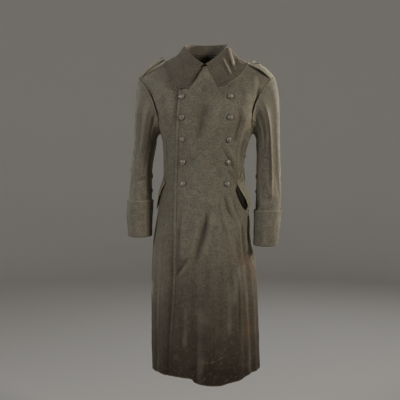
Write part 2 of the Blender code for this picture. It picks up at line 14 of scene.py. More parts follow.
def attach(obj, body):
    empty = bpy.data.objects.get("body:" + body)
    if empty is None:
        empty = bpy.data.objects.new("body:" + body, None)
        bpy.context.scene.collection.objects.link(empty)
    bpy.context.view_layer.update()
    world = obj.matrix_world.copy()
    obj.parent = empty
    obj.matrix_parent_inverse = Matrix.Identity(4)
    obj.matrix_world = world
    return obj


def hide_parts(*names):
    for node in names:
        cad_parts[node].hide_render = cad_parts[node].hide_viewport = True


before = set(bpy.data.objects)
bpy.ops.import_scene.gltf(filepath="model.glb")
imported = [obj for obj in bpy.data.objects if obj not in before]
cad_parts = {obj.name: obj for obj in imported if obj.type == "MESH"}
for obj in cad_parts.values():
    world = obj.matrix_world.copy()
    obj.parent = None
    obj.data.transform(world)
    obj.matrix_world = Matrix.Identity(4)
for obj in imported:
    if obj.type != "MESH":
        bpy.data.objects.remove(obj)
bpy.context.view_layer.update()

# The cloth and how its pieces meet; a seam below zero laps its pieces, so that no light shows through
CLOTH = 0.0028
SEAM = -0.0004
SLEEVE_SEAM = 0.0010
LAID = 0.0004
LAID_WIDE = 0.0009

# Driving places of the cut
ARMPIT_Z = -0.287
SHOULDER_TIP = (0.250, -0.080)
SHOULDER_SLOPE = 0.558
NECK_HALF_WIDTH = 0.080
NECK_FRONT_Z = -0.047
NECK_BACK_Z = 0.005
FORM_REACH = 0.262
BODY_ROUNDING = 2.35
SHOULDER_ROUNDING = 2.3
OUTER_EDGE_TOP = -0.089
UNDER_EDGE = 0.086
EDGE_CORNER_Z = -0.078
CORNER_RAISE = 0.003
SIDE_REACH = 0.30
NECK_MIDDLE_Y = -0.012
OVERLAP_LIFT = CLOTH + 0.0026
CUFF_TOPS = {"left": -0.570, "right": -0.536}
CUFF_LIFT = CLOTH + 0.0009
CUFF_DROP = 0.003
CUFF_CLEARANCE = 0.0037
CUFF_FLARE = 0.003
CUFF_INSIDE = (0.022, 0.006)
SLEEVE_ROUNDING = 2.15
FRONT_SEAM_TURN = 128
BACK_SEAM_TURN = 246
SLEEVE_FULLNESS = 0.9
CAP_LEAD = 0.24
OUTERMOST_LEAD = {"left": 0.125, "right": 0.120}
CAP_FALL = 0.42
COLLAR_ENDS = (-5, 5)
COLLAR_GAP = 0.0022
COLLAR_LAID = 0.0021
COLLAR_INSET = 0.0010
COLLAR_RAISE = 0.0014
STRAP_OUTER = 0.254
STRAP_RISE = 0.012
STRAP_HALF_WIDTH = 0.024
STRAP_SEWN_WIDTH = 0.86
STRAP_END = 0.28
STRAP_CROWN = 0.0015
STRAP_LAID = 0.0006
FLAP_BELLY = 0.5
BUTTON_RADIUS = 0.0100
STRAP_BUTTON_RADIUS = 0.0070
SHANK = 0.0030

# Powers that set how rows bunch: round the neck towards the shoulder, at the underarm end of the armhole, by
# the armhole on the sleeve's cap, and at the top of a cuff
NECK_BUNCHING, ARMHOLE_BUNCHING, CAP_BUNCHING, CUFF_BUNCHING = 1.6, 0.85, 1.25, 0.9

# Shares of a length: where the collar's fall comes to lie on the coat; where a strap leaves the panels and
# where its crown is full, and it widens over the first eighth; where on half a wave a flap's gape starts, and
# how much of the wave it spans
FALL_LAID_FROM = 0.8
STRAP_LEAVES, STRAP_CROWN_RUN, STRAP_WIDENING = 0.2, 0.3, 8
GAPE_START, GAPE_SPAN = 0.12, 0.80

# A button's dome, and its pebbles' size and spacing, as shares of its radius
DOME, PEBBLE, PEBBLE_SPACING = 0.52, 0.055, 0.10

# Rows of points up each piece and columns across it, about 4 mm apart. Above the armpit a panel has eight
# rows to a step: five steps up its edge, two round a front's corner and four round the neck.
LOWER_ROWS = 200
UPPER_STEP = 8
EDGE_ROWS, CORNER_ROWS, NECK_ROWS = 5 * UPPER_STEP, 2 * UPPER_STEP, 4 * UPPER_STEP
FRONT_COLUMNS = 86
BACK_COLUMNS = 66
SLEEVE_COLUMNS = 100
CAP_ROWS = 44
SLEEVE_ROWS = 96
CUFF_ROWS = 42
COLLAR_COLUMNS = 250
STAND_ROWS = 10
FALL_ROWS = 44
STRAP_LENGTHWISE, STRAP_ACROSS = 46, 25
FLAP_ALONG, FLAP_DOWN = 52, 24

# Metres across each piece, and where the columns beside its edges lie, closer together than the others
FRONT_WIDE, BACK_WIDE = 0.38, 0.29
TOP_SLEEVE_WIDE, UNDER_SLEEVE_WIDE = 0.21, 0.11
COLLAR_WIDE, STRAP_LONG = 0.62, 0.1
BESIDE_EDGE = (0, 0.0012, 0.0026, 0.0042, 0.0060, 0.0080, 0.0095, 0.0110, 0.0126, 0.0145)

# Metres across one degree round the body and round a sleeve
BODY_DEGREE = 0.0029
SLEEVE_DEGREE = 0.00092

# How strongly all creases stand out, against the figures in their tables
BODY_CREASING = 1.75
SLEEVE_CREASING = 1.7

FLOOR_Z = -1.56

# Topstitching, in metres from a turned edge, and how far stitches lie off the cloth
EDGE_STITCH = 0.011
COLLAR_STITCH = 0.008
TRIM_STITCH = 0.005
CUFF_STITCH = 0.007
ON_CLOTH = 0.0002

# How creases and large folds taper at their ends, as shares of their length
CREASE_TAPER = 0.3
FOLD_TAPER = 0.35

# Over what distance creases fade out below the armhole, above the cuff's end and below the collar's fold
ARMHOLE_CALM, CUFF_CALM, FOLD_CALM = 0.03, 0.02, 0.012

# Slack that heavy cloth keeps everywhere: the waves' height, and how many there are to the metre
SLACK_BROAD, SLACK_FINE = (0.0018, 13), (0.0009, 34)

# Slack of a cuff, the collar and the small pieces, as a share of the panels' own
CUFF_SLACK, COLLAR_SLACK, TRIM_SLACK = 1.3, 0.6, 0.3

# Relief of the sewing: how far it stands in or out, and over what distance
SEAM_DIP, SEAM_DIP_RUN = 0.0014, 0.0045
SEAM_SWELL, SEAM_SWELL_START, SEAM_SWELL_RUN = 0.0005, 0.003, 0.014
TURNED_SWELL = 0.0005
STITCH_DIP, STITCH_DIP_RUN = 0.0011, 0.0032
BUTTON_PULL, BUTTON_PULL_RUN = 0.0014, 0.020
CAP_SWELL, CAP_SWELL_START, CAP_SWELL_RUN = 0.0022, 0.004, 0.045

# Where the outer front comes back to the body past the under front's edge, and the lap's end at the neck
LAP_PAST_EDGE, LAP_END_RUN = 0.006, 0.045
LAP_TOP_Z, LAP_TOP_RUN = -0.036, 0.03

# The photograph's view: degrees to the wearer's left, metres away and above the middle, and half its angle
CAMERA_TURN, CAMERA_DISTANCE, CAMERA_RISE = 4.5, 3.3, 0.186
VIEW_MIDDLE, HALF_VIEW = (-0.024, 0, -0.536), 12.8


def table(names, *rows):
    """Rows with named columns."""
    return [dict(zip(names.split(), row, strict=True)) for row in rows]


SECTIONS = table(
    "z left right front back",
    (-1.240, 0.204, 0.196, 0.170, 0.166),
    (-0.960, 0.195, 0.201, 0.158, 0.153),
    (-0.780, 0.185, 0.198, 0.148, 0.142),
    (-0.735, 0.175, 0.197, 0.144, 0.138),
    (-0.690, 0.166, 0.195, 0.140, 0.134),
    (-0.600, 0.160, 0.185, 0.132, 0.126),
    (-0.510, 0.149, 0.172, 0.122, 0.110),
    (-0.450, 0.143, 0.160, 0.116, 0.099),
    (-0.395, 0.141, 0.157, 0.115, 0.097),
    (-0.345, 0.148, 0.160, 0.120, 0.104),
    (-0.287, 0.171, 0.171, 0.126, 0.115),
    (-0.250, 0.198, 0.198, 0.128, 0.118),
    (-0.200, 0.240, 0.240, 0.128, 0.120),
    (-0.140, 0.277, 0.277, 0.125, 0.118),
    (-0.060, 0.305, 0.305, 0.118, 0.112),
    (0.070, 0.320, 0.320, 0.110, 0.105),
)
OUTER_EDGE = table(
    "z x",
    (-1.240, -0.126),
    (-1.050, -0.122),
    (-0.840, -0.110),
    (-0.530, -0.108),
    (-0.280, -0.100),
    (-0.078, OUTER_EDGE_TOP),
)
HEM = table(
    "angle z",
    (-180, -1.172),
    (-90, -1.172),
    (-40, -1.168),
    (-15, -1.171),
    (-9, -1.176),
    (-7, -1.186),
    (12, -1.197),
    (30, -1.184),
    (55, -1.166),
    (90, -1.163),
    (180, -1.172),
)
ARMHOLE = table(
    "z front back",
    (-0.287, 0.1710, 0.1710),
    (-0.272, 0.1705, 0.1730),
    (-0.250, 0.1710, 0.1760),
    (-0.215, 0.1750, 0.1810),
    (-0.165, 0.1900, 0.1950),
    (-0.112, 0.2220, 0.2250),
    (-0.080, 0.2500, 0.2500),
)
FOLDS = table(
    "angle_top z_top angle_low z_low rise spread to_hem",
    (4, -0.56, -9, -1.20, -0.006, 8, True),
    (10, -0.62, 3, -1.20, 0.007, 9, True),
    (24, -0.60, 22, -1.20, -0.006, 8, True),
    (33, -0.55, 36, -1.20, 0.010, 10, True),
    (52, -0.60, 60, -1.20, -0.006, 10, True),
    (-38, -0.60, -42, -1.20, 0.006, 12, True),
    (-58, -0.62, -62, -1.20, -0.006, 11, True),
    (-82, -0.55, -86, -1.20, 0.006, 12, True),
    (112, -0.52, 118, -1.20, 0.009, 13, True),
    (140, -0.56, 144, -1.20, -0.009, 12, True),
    (165, -0.60, 168, -1.20, 0.007, 11, True),
    (-112, -0.55, -116, -1.20, -0.007, 11, True),
    (-136, -0.50, -142, -1.20, 0.010, 13, True),
    (-162, -0.58, -166, -1.20, -0.008, 11, True),
    (34, -0.16, 16, -0.34, 0.004, 9, False),
    (-52, -0.18, -42, -0.38, -0.004, 9, False),
    (128, -0.14, 140, -0.34, 0.006, 10, False),
    (-128, -0.14, -142, -0.34, 0.006, 10, False),
)
SLEEVES = {
    "left": table(
        "z inner outer middle depth",
        (-0.330, 0.186, 0.2735, 0.004, 0.068),
        (-0.400, 0.187, 0.2765, 0.006, 0.063),
        (-0.480, 0.186, 0.2780, 0.006, 0.060),
        (-0.560, 0.185, 0.2775, -0.010, 0.060),
        (-0.630, 0.183, 0.2710, -0.026, 0.061),
        (-0.697, 0.180, 0.2620, -0.040, 0.061),
    ),
    "right": table(
        "z inner outer middle depth",
        (-0.330, 0.190, 0.2735, 0.004, 0.068),
        (-0.400, 0.203, 0.2830, 0.006, 0.062),
        (-0.480, 0.206, 0.2880, 0.004, 0.059),
        (-0.540, 0.206, 0.2910, -0.008, 0.060),
        (-0.600, 0.206, 0.2920, -0.020, 0.061),
        (-0.668, 0.205, 0.2870, -0.032, 0.061),
    ),
}
COLLAR = table(
    "turn fold_x fold_y fold_z edge_x edge_y edge_z",
    (-230, 0.060, 0.046, 0.048, 0.116, 0.075, -0.052),
    (-180, 0.000, 0.080, 0.050, 0.000, 0.095, -0.055),
    (-130, -0.060, 0.046, 0.048, -0.116, 0.075, -0.052),
    (-90, -0.078, -0.018, 0.040, -0.148, -0.015, -0.032),
    (-62, -0.066, -0.060, 0.020, -0.130, -0.070, -0.086),
    (-35, -0.040, -0.088, -0.010, -0.100, -0.100, -0.124),
    (-5, -0.005, -0.098, -0.034, -0.064, -0.110, -0.131),
    (5, 0.006, -0.098, -0.034, 0.054, -0.110, -0.129),
    (35, 0.040, -0.088, -0.010, 0.094, -0.100, -0.108),
    (62, 0.066, -0.060, 0.020, 0.134, -0.070, -0.076),
    (90, 0.078, -0.018, 0.040, 0.156, -0.015, -0.028),
    (130, 0.060, 0.046, 0.048, 0.118, 0.075, -0.050),
    (180, 0.000, 0.080, 0.050, 0.000, 0.095, -0.055),
    (230, -0.060, 0.046, 0.048, -0.116, 0.075, -0.052),
)
STRAPS = {
    "left": {"inner": 0.170, "forward": -0.033, "arch": 0.005, "button": 0.750},
    "right": {"inner": 0.152, "forward": -0.006, "arch": 0.003, "button": 0.875},
}
FLAPS = {
    "left": {
        "sewn": ((67, -0.434), (97, -0.540)),
        "free": ((50, -0.466), (66, -0.566)),
        "gape": 0.019,
        "skew": 2,
    },
    "right": {
        "sewn": ((-74, -0.452), (-98, -0.548)),
        "free": ((-60, -0.470), (-83, -0.570)),
        "gape": 0.005,
        "skew": 1,
    },
}
BUTTONS = table(
    "row a_x b_x z",
    (1, -0.080, 0.095, -0.157),
    (2, -0.080, 0.095, -0.232),
    (3, -0.079, 0.090, -0.312),
    (4, -0.078, 0.086, -0.393),
    (5, -0.076, 0.083, -0.472),
)

# Creases of the body, each a curve through three places: degrees round the body and height, how
# far it stands out (a trough is negative), its half-width, and how pinched its middle is
BODY_CREASES = table(
    "a0 z0 a1 z1 a2 z2 rise width pinch",
    # long drag crease down the middle, and the drop that it turns into
    (4, -0.540, -1, -0.665, -9, -0.790, -0.0032, 0.014, 1.3),
    (3.5, -0.545, -0.8, -0.665, -8.5, -0.780, -0.0024, 0.0075, 1.3),
    (9, -0.560, 4, -0.660, -3, -0.760, 0.0020, 0.016, 1.0),
    (-4, -0.590, -7, -0.670, -13, -0.735, 0.0014, 0.013, 1.0),
    (-7, -0.730, -8, -0.930, -8, -1.400, -0.0021, 0.017, 1.0),
    (-3, -0.820, -3, -1.000, -3, -1.400, 0.0013, 0.018, 1.0),
    # short diagonal by the front edge, and the long line beside the edge
    (-12, -0.732, -19, -0.765, -27, -0.806, -0.0036, 0.0075, 1.4),
    (-11, -0.752, -18, -0.784, -26, -0.818, 0.0016, 0.010, 1.0),
    (-25, -0.560, -24, -0.690, -24, -0.830, -0.0018, 0.010, 1.2),
    (-21, -0.540, -20, -0.660, -19, -0.760, 0.0012, 0.013, 1.0),
    # chest
    (2, -0.150, -2, -0.252, -11, -0.350, -0.0018, 0.019, 1.0),
    (1, -0.160, -2, -0.255, -10, -0.345, -0.0015, 0.009, 1.3),
    (8, -0.190, 3, -0.280, -3, -0.350, 0.0012, 0.020, 1.0),
    (-22, -0.120, -30, -0.220, -33, -0.330, 0.0010, 0.022, 1.0),
    (21, -0.346, 34, -0.380, 48, -0.436, -0.0036, 0.0095, 1.4),
    (26, -0.332, 40, -0.366, 52, -0.420, 0.0020, 0.011, 1.0),
    (30, -0.420, 38, -0.436, 50, -0.470, -0.0022, 0.009, 1.2),
    (12, -0.380, 16, -0.420, 25, -0.462, -0.0012, 0.012, 1.0),
    (-14, -0.360, -10, -0.420, 2, -0.480, -0.0010, 0.015, 1.0),
    # neck closing under the collar, and the shaded line along the front edge of its lifted leaf
    (-0.3, -0.038, -3.3, -0.0735, -9.2, -0.130, -0.0034, 0.0062, 1.0),
    (-2, -0.062, -2, -0.090, -2, -0.126, 0.0012, 0.005, 1.0),
    (2, -0.062, 2, -0.092, 1, -0.130, -0.0012, 0.004, 1.0),
    (-6, -0.140, 0, -0.142, 8, -0.139, -0.0008, 0.004, 1.0),
    # drag lines from the lowest button and the pocket down into the skirt
    (27, -0.496, 29, -0.560, 42, -0.610, -0.0036, 0.011, 1.5),
    (33, -0.500, 36, -0.560, 50, -0.604, 0.0022, 0.011, 1.0),
    (40, -0.500, 42, -0.560, 54, -0.600, -0.0022, 0.010, 1.2),
    (16, -0.510, 20, -0.600, 30, -0.690, -0.0022, 0.013, 1.2),
    (22, -0.560, 27, -0.640, 36, -0.720, 0.0014, 0.014, 1.0),
    (44, -0.590, 50, -0.665, 46, -0.760, 0.0040, 0.010, 1.4),
    (52, -0.600, 57, -0.680, 54, -0.780, -0.0030, 0.011, 1.2),
    (37, -0.640, 42, -0.700, 39, -0.770, -0.0022, 0.011, 1.2),
    (60, -0.620, 66, -0.700, 72, -0.790, 0.0022, 0.015, 1.0),
    # skirt, wearer's left of the middle
    (31, -0.760, 31, -0.850, 29, -0.930, 0.0020, 0.011, 1.2),
    (36, -0.790, 37, -0.920, 35, -1.060, -0.0034, 0.011, 1.2),
    (30, -1.010, 33, -1.045, 37, -1.062, -0.0016, 0.009, 1.2),
    (26, -0.780, 25, -0.930, 24, -1.080, 0.0016, 0.014, 1.0),
    (18, -0.720, 16, -0.900, 15, -1.100, -0.0016, 0.017, 1.0),
    (9, -0.820, 8, -0.960, 6, -1.120, -0.0014, 0.014, 1.0),
    (50, -0.850, 53, -1.000, 56, -1.400, 0.0010, 0.016, 1.0),
    (70, -0.800, 74, -0.980, 78, -1.400, -0.0014, 0.019, 1.0),
    (64, -0.930, 66, -1.010, 70, -1.100, 0.0008, 0.012, 1.2),
    # skirt, wearer's right of the front edge
    (-33, -0.900, -34, -1.010, -36, -1.400, -0.0010, 0.014, 1.0),
    (-46, -0.620, -49, -0.820, -52, -1.060, -0.0011, 0.017, 1.0),
    (-56, -0.780, -58, -0.930, -60, -1.400, 0.0010, 0.018, 1.0),
    (-68, -0.600, -72, -0.800, -74, -1.000, 0.0012, 0.017, 1.0),
    (-15, -0.880, -15, -0.980, -17, -1.100, 0.0012, 0.014, 1.0),
    (-22, -0.900, -21, -1.010, -23, -1.120, -0.0012, 0.012, 1.0),
    # wearer's left chest, by the arm
    (33, -0.075, 37, -0.125, 41, -0.200, 0.0040, 0.012, 1.1),
    (40, -0.120, 42, -0.160, 47, -0.235, -0.0044, 0.010, 1.3),
    (24, -0.110, 28, -0.160, 34, -0.230, -0.0018, 0.014, 1.0),
    (36, -0.185, 49, -0.270, 52, -0.365, 0.0042, 0.014, 1.0),
    (27, -0.195, 37, -0.265, 40, -0.345, -0.0030, 0.013, 1.1),
    (52, -0.330, 54, -0.400, 58, -0.470, 0.0030, 0.013, 1.0),
    (64, -0.215, 71, -0.285, 74, -0.350, 0.0042, 0.020, 1.0),
    (66, -0.352, 76, -0.372, 88, -0.380, -0.0026, 0.009, 1.2),
    (62, -0.395, 72, -0.408, 86, -0.412, 0.0022, 0.010, 1.0),
    (60, -0.300, 66, -0.360, 68, -0.430, -0.0030, 0.012, 1.2),
    (74, -0.310, 80, -0.350, 84, -0.420, 0.0030, 0.012, 1.1),
    (58, -0.380, 62, -0.420, 66, -0.470, 0.0026, 0.010, 1.2),
    (78, -0.300, 96, -0.350, 112, -0.372, -0.0026, 0.011, 1.3),
    (80, -0.380, 98, -0.410, 116, -0.418, -0.0030, 0.011, 1.4),
    (84, -0.345, 100, -0.380, 118, -0.392, 0.0020, 0.012, 1.0),
    # wearer's right chest, by the arm
    (-44, -0.120, -44, -0.170, -48, -0.240, -0.0022, 0.012, 1.1),
    (-38, -0.110, -39, -0.170, -42, -0.250, 0.0014, 0.014, 1.0),
    (-58, -0.280, -60, -0.350, -64, -0.430, -0.0020, 0.014, 1.1),
    (-72, -0.300, -76, -0.370, -76, -0.450, 0.0022, 0.015, 1.0),
    (-80, -0.300, -98, -0.350, -116, -0.366, -0.0024, 0.011, 1.3),
    (-82, -0.385, -100, -0.412, -114, -0.420, -0.0026, 0.011, 1.4),
    (-86, -0.352, -104, -0.382, -120, -0.396, 0.0018, 0.012, 1.0),
    # back
    (150, -0.060, 164, -0.090, 178, -0.098, -0.0022, 0.012, 1.1),
    (-150, -0.062, -164, -0.088, -178, -0.095, -0.0020, 0.012, 1.1),
    (130, -0.160, 136, -0.230, 146, -0.320, -0.0028, 0.012, 1.2),
    (-132, -0.150, -138, -0.230, -150, -0.310, -0.0030, 0.012, 1.2),
    (120, -0.240, 128, -0.320, 140, -0.390, -0.0022, 0.012, 1.2),
    (-118, -0.250, -128, -0.320, -138, -0.385, -0.0022, 0.012, 1.2),
    (128, -0.372, 150, -0.398, 174, -0.402, -0.0030, 0.011, 1.4),
    (-124, -0.380, -148, -0.410, -172, -0.414, -0.0032, 0.011, 1.4),
    (134, -0.400, 152, -0.424, 176, -0.428, 0.0020, 0.013, 1.0),
    (-130, -0.408, -150, -0.438, -170, -0.442, 0.0020, 0.013, 1.0),
    (140, -0.440, 156, -0.456, 172, -0.452, -0.0018, 0.010, 1.3),
    (-142, -0.342, -156, -0.366, -168, -0.372, -0.0018, 0.010, 1.3),
    (174, -0.470, 172, -0.640, 174, -0.820, -0.0024, 0.014, 1.0),
    (-174, -0.480, -173, -0.680, -176, -0.900, 0.0020, 0.015, 1.0),
    (152, -0.520, 154, -0.720, 156, -0.960, 0.0024, 0.018, 1.0),
    (-150, -0.540, -152, -0.760, -154, -1.400, 0.0026, 0.018, 1.0),
    (126, -0.600, 128, -0.820, 130, -1.400, -0.0028, 0.018, 1.0),
    (-124, -0.560, -127, -0.780, -128, -1.080, -0.0026, 0.018, 1.0),
    (100, -0.600, 102, -0.780, 106, -1.020, 0.0020, 0.016, 1.0),
    (-98, -0.640, -101, -0.840, -104, -1.400, -0.0022, 0.017, 1.0),
    (160, -0.980, 161, -1.080, 164, -1.400, -0.0020, 0.013, 1.1),
    (-168, -0.940, -170, -1.060, -172, -1.400, 0.0018, 0.015, 1.0),
    # pocket mouths, dragged open behind the flaps; the wool's colour paints the deepest trough near-black as
    # shade
    (48, -0.470, 54.5, -0.520, 71, -0.567, -0.0078, 0.015, 1.1),
    (66, -0.560, 72, -0.578, 82, -0.590, 0.0046, 0.013, 1.0),
    (-59, -0.474, -68, -0.520, -79, -0.562, -0.0020, 0.010, 1.2),
)

# Creases of the sleeves: degrees round the arm (0 outermost, 90 front, 180 towards the body)
SLEEVE_CREASES = {
    "left": table(
        "a0 z0 a1 z1 a2 z2 rise width pinch",
        (105, -0.100, 100, -0.200, 98, -0.380, -0.0052, 0.013, 1.2),
        (84, -0.120, 80, -0.300, 79, -0.600, -0.0042, 0.010, 1.2),
        (64, -0.110, 59, -0.300, 57, -0.600, 0.0040, 0.024, 1.0),
        (124, -0.160, 120, -0.250, 117, -0.370, 0.0036, 0.012, 1.1),
        (60, -0.420, 80, -0.455, 112, -0.470, -0.0012, 0.009, 1.4),
        (152, -0.430, 130, -0.480, 104, -0.548, 0.0024, 0.010, 1.1),
        (160, -0.456, 140, -0.506, 116, -0.560, -0.0024, 0.009, 1.2),
        (100, -0.462, 88, -0.508, 78, -0.556, -0.0020, 0.009, 1.1),
        (66, -0.500, 86, -0.520, 122, -0.516, -0.0016, 0.009, 1.5),
        (62, -0.520, 88, -0.538, 126, -0.538, 0.0012, 0.009, 1.1),
        (58, -0.540, 84, -0.556, 120, -0.562, -0.0012, 0.008, 1.4),
        (128, -0.525, 142, -0.548, 158, -0.560, 0.0036, 0.010, 1.2),
        (44, -0.430, 40, -0.480, 34, -0.530, 0.0020, 0.012, 1.0),
        (270, -0.150, 272, -0.280, 280, -0.400, -0.0034, 0.014, 1.1),
        (236, -0.170, 240, -0.290, 246, -0.380, 0.0026, 0.014, 1.0),
        (300, -0.130, 304, -0.240, 310, -0.340, 0.0022, 0.015, 1.0),
        (250, -0.430, 276, -0.452, 304, -0.446, -0.0030, 0.010, 1.4),
        (256, -0.468, 280, -0.486, 308, -0.482, -0.0024, 0.009, 1.4),
        (252, -0.448, 278, -0.470, 306, -0.464, 0.0020, 0.010, 1.0),
        (150, -0.430, 180, -0.450, 214, -0.444, -0.0022, 0.010, 1.3),
        (156, -0.490, 186, -0.505, 216, -0.498, -0.0022, 0.010, 1.3),
        (0, -0.300, 356, -0.400, 4, -0.520, 0.0014, 0.018, 1.0),
        (334, -0.405, 352, -0.436, 16, -0.440, -0.0020, 0.012, 1.2),
        (340, -0.455, 2, -0.478, 26, -0.474, -0.0016, 0.011, 1.2),
        (330, -0.430, 354, -0.458, 22, -0.458, 0.0014, 0.012, 1.0),
        (24, -0.180, 20, -0.260, 12, -0.340, -0.0014, 0.016, 1.0),
    ),
    "right": table(
        "a0 z0 a1 z1 a2 z2 rise width pinch",
        (100, -0.100, 98, -0.230, 96, -0.430, -0.0034, 0.012, 1.2),
        (122, -0.140, 120, -0.270, 118, -0.480, 0.0046, 0.012, 1.1),
        (76, -0.120, 76, -0.250, 78, -0.460, 0.0030, 0.013, 1.0),
        (48, -0.140, 50, -0.270, 52, -0.400, -0.0018, 0.014, 1.1),
        (88, -0.462, 116, -0.446, 150, -0.466, -0.0030, 0.008, 1.5),
        (84, -0.476, 116, -0.462, 152, -0.482, 0.0022, 0.009, 1.1),
        (80, -0.500, 84, -0.530, 92, -0.556, -0.0022, 0.009, 1.3),
        (96, -0.490, 106, -0.512, 124, -0.530, -0.0018, 0.009, 1.3),
        (60, -0.430, 56, -0.480, 50, -0.520, 0.0016, 0.012, 1.0),
        (268, -0.150, 270, -0.280, 276, -0.420, -0.0034, 0.014, 1.1),
        (238, -0.160, 242, -0.300, 250, -0.390, 0.0026, 0.014, 1.0),
        (304, -0.130, 300, -0.240, 306, -0.360, 0.0022, 0.015, 1.0),
        (248, -0.436, 274, -0.456, 300, -0.452, -0.0028, 0.010, 1.4),
        (252, -0.474, 276, -0.490, 310, -0.486, -0.0026, 0.009, 1.4),
        (250, -0.454, 276, -0.474, 306, -0.468, 0.0020, 0.010, 1.0),
        (158, -0.420, 184, -0.446, 212, -0.452, -0.0024, 0.010, 1.3),
        (160, -0.480, 182, -0.500, 214, -0.496, -0.0020, 0.010, 1.3),
        (2, -0.280, 8, -0.400, 4, -0.500, 0.0014, 0.018, 1.0),
        (336, -0.398, 0, -0.424, 22, -0.420, -0.0020, 0.012, 1.2),
        (328, -0.442, 350, -0.466, 12, -0.470, -0.0018, 0.011, 1.2),
        (332, -0.420, 356, -0.446, 20, -0.446, 0.0014, 0.012, 1.0),
        (30, -0.170, 24, -0.250, 18, -0.330, -0.0014, 0.016, 1.0),
    ),
}

# Dents in the cuffs: degrees round the arm, and metres below the cuff's top
CUFF_CREASES = table(
    "a0 z0 a1 z1 a2 z2 rise width pinch",
    (60, -0.020, 84, -0.034, 112, -0.030, -0.0012, 0.013, 1.0),
    (96, -0.060, 92, -0.090, 98, -0.125, 0.0014, 0.013, 1.0),
    (20, -0.030, 30, -0.070, 24, -0.110, -0.0016, 0.015, 1.0),
    (330, -0.020, 320, -0.060, 326, -0.110, 0.0014, 0.015, 1.0),
    (270, -0.030, 276, -0.070, 270, -0.110, -0.0018, 0.014, 1.0),
    (180, -0.040, 186, -0.070, 180, -0.120, 0.0014, 0.014, 1.0),
)

# Creases of the collar: degrees round the neck, and metres down its fall from the fold
COLLAR_CREASES = table(
    "a0 z0 a1 z1 a2 z2 rise width pinch",
    (49, 0.007, 45.5, 0.054, 42, 0.102, 0.0080, 0.0086, 1.6),
    (64, 0.000, 56, 0.046, 48, 0.094, -0.0085, 0.0075, 1.1),
    (42, 0.008, 39, 0.054, 35, 0.098, -0.0050, 0.0085, 1.1),
    (82, -0.012, 67, 0.036, 51, 0.080, 0.0095, 0.0115, 1.4),
    (90, 0.002, 76, 0.044, 60, 0.082, -0.0060, 0.009, 1.1),
    (-58, 0.024, -50, 0.050, -44, 0.086, -0.0014, 0.014, 1.0),
    (-76, 0.014, -74, 0.044, -70, 0.080, 0.0016, 0.014, 1.0),
    (-30, 0.034, -26, 0.060, -22, 0.086, 0.0010, 0.013, 1.0),
    (112, 0.012, 110, 0.040, 106, 0.074, -0.0020, 0.010, 1.1),
    (-116, 0.014, -112, 0.044, -108, 0.074, -0.0020, 0.010, 1.1),
    (150, 0.018, 154, 0.050, 150, 0.086, 0.0016, 0.013, 1.0),
    (-146, 0.018, -150, 0.050, -148, 0.086, 0.0014, 0.013, 1.0),
    (176, 0.016, 182, 0.050, 178, 0.080, -0.0014, 0.012, 1.0),
)
COLLAR_DEGREE = 0.0021

# How far the wearer's right leaf of the collar stands off, and over what distances that fades from its end
# and grows below the fold
LEAF_LIFT, LEAF_LIFT_RUN, LEAF_LIFT_FALL = 0.0080, 0.024, 0.06

# How deep the collar's troughs may go before they would touch what lies under it, without and with stitches
COLLAR_TROUGH, STITCHED_TROUGH = -0.0012, -0.0016

# The same depth for straps and flaps, and how hard their stitches pull against the panels'
TRIM_TROUGH, TRIM_PULL = -0.0003, 0.7

# Rubbed edges: how worn each is, from 0 to 1, and over what distance that fades
HEM_WEAR = (0.4, 0.004)
FRONT_EDGE_WEAR = (0.15, 0.002)
CUFF_END_WEAR, CUFF_TOP_WEAR = (0.7, 0.005), (0.6, 0.003)
COLLAR_EDGE_WEAR, COLLAR_END_WEAR = (1.0, 0.0017), (0.4, 0.0018)
TRIM_WEAR = (1.0, 0.002)

# The collar's wear all round and how much its left side has more, the line at its fold, and the painted
# highlight on its ridges
ROUND_RUB, LEFT_RUB = 0.12, 0.80
FOLD_RUB, FOLD_RUB_AT = 0.15, 0.002
RIDGE_HIGHLIGHT_FROM, RIDGE_HIGHLIGHT_RUN = 0.0020, 0.0045

# The outer front's edge: how strongly its stitching's groove is painted in the colour as shade, and the
# painted shadow beside it on the under front
EDGE_STITCH_PAINTED_SHADE, EDGE_PAINTED_SHADOW, EDGE_PAINTED_SHADOW_RUN = 5, 0.007, 0.005

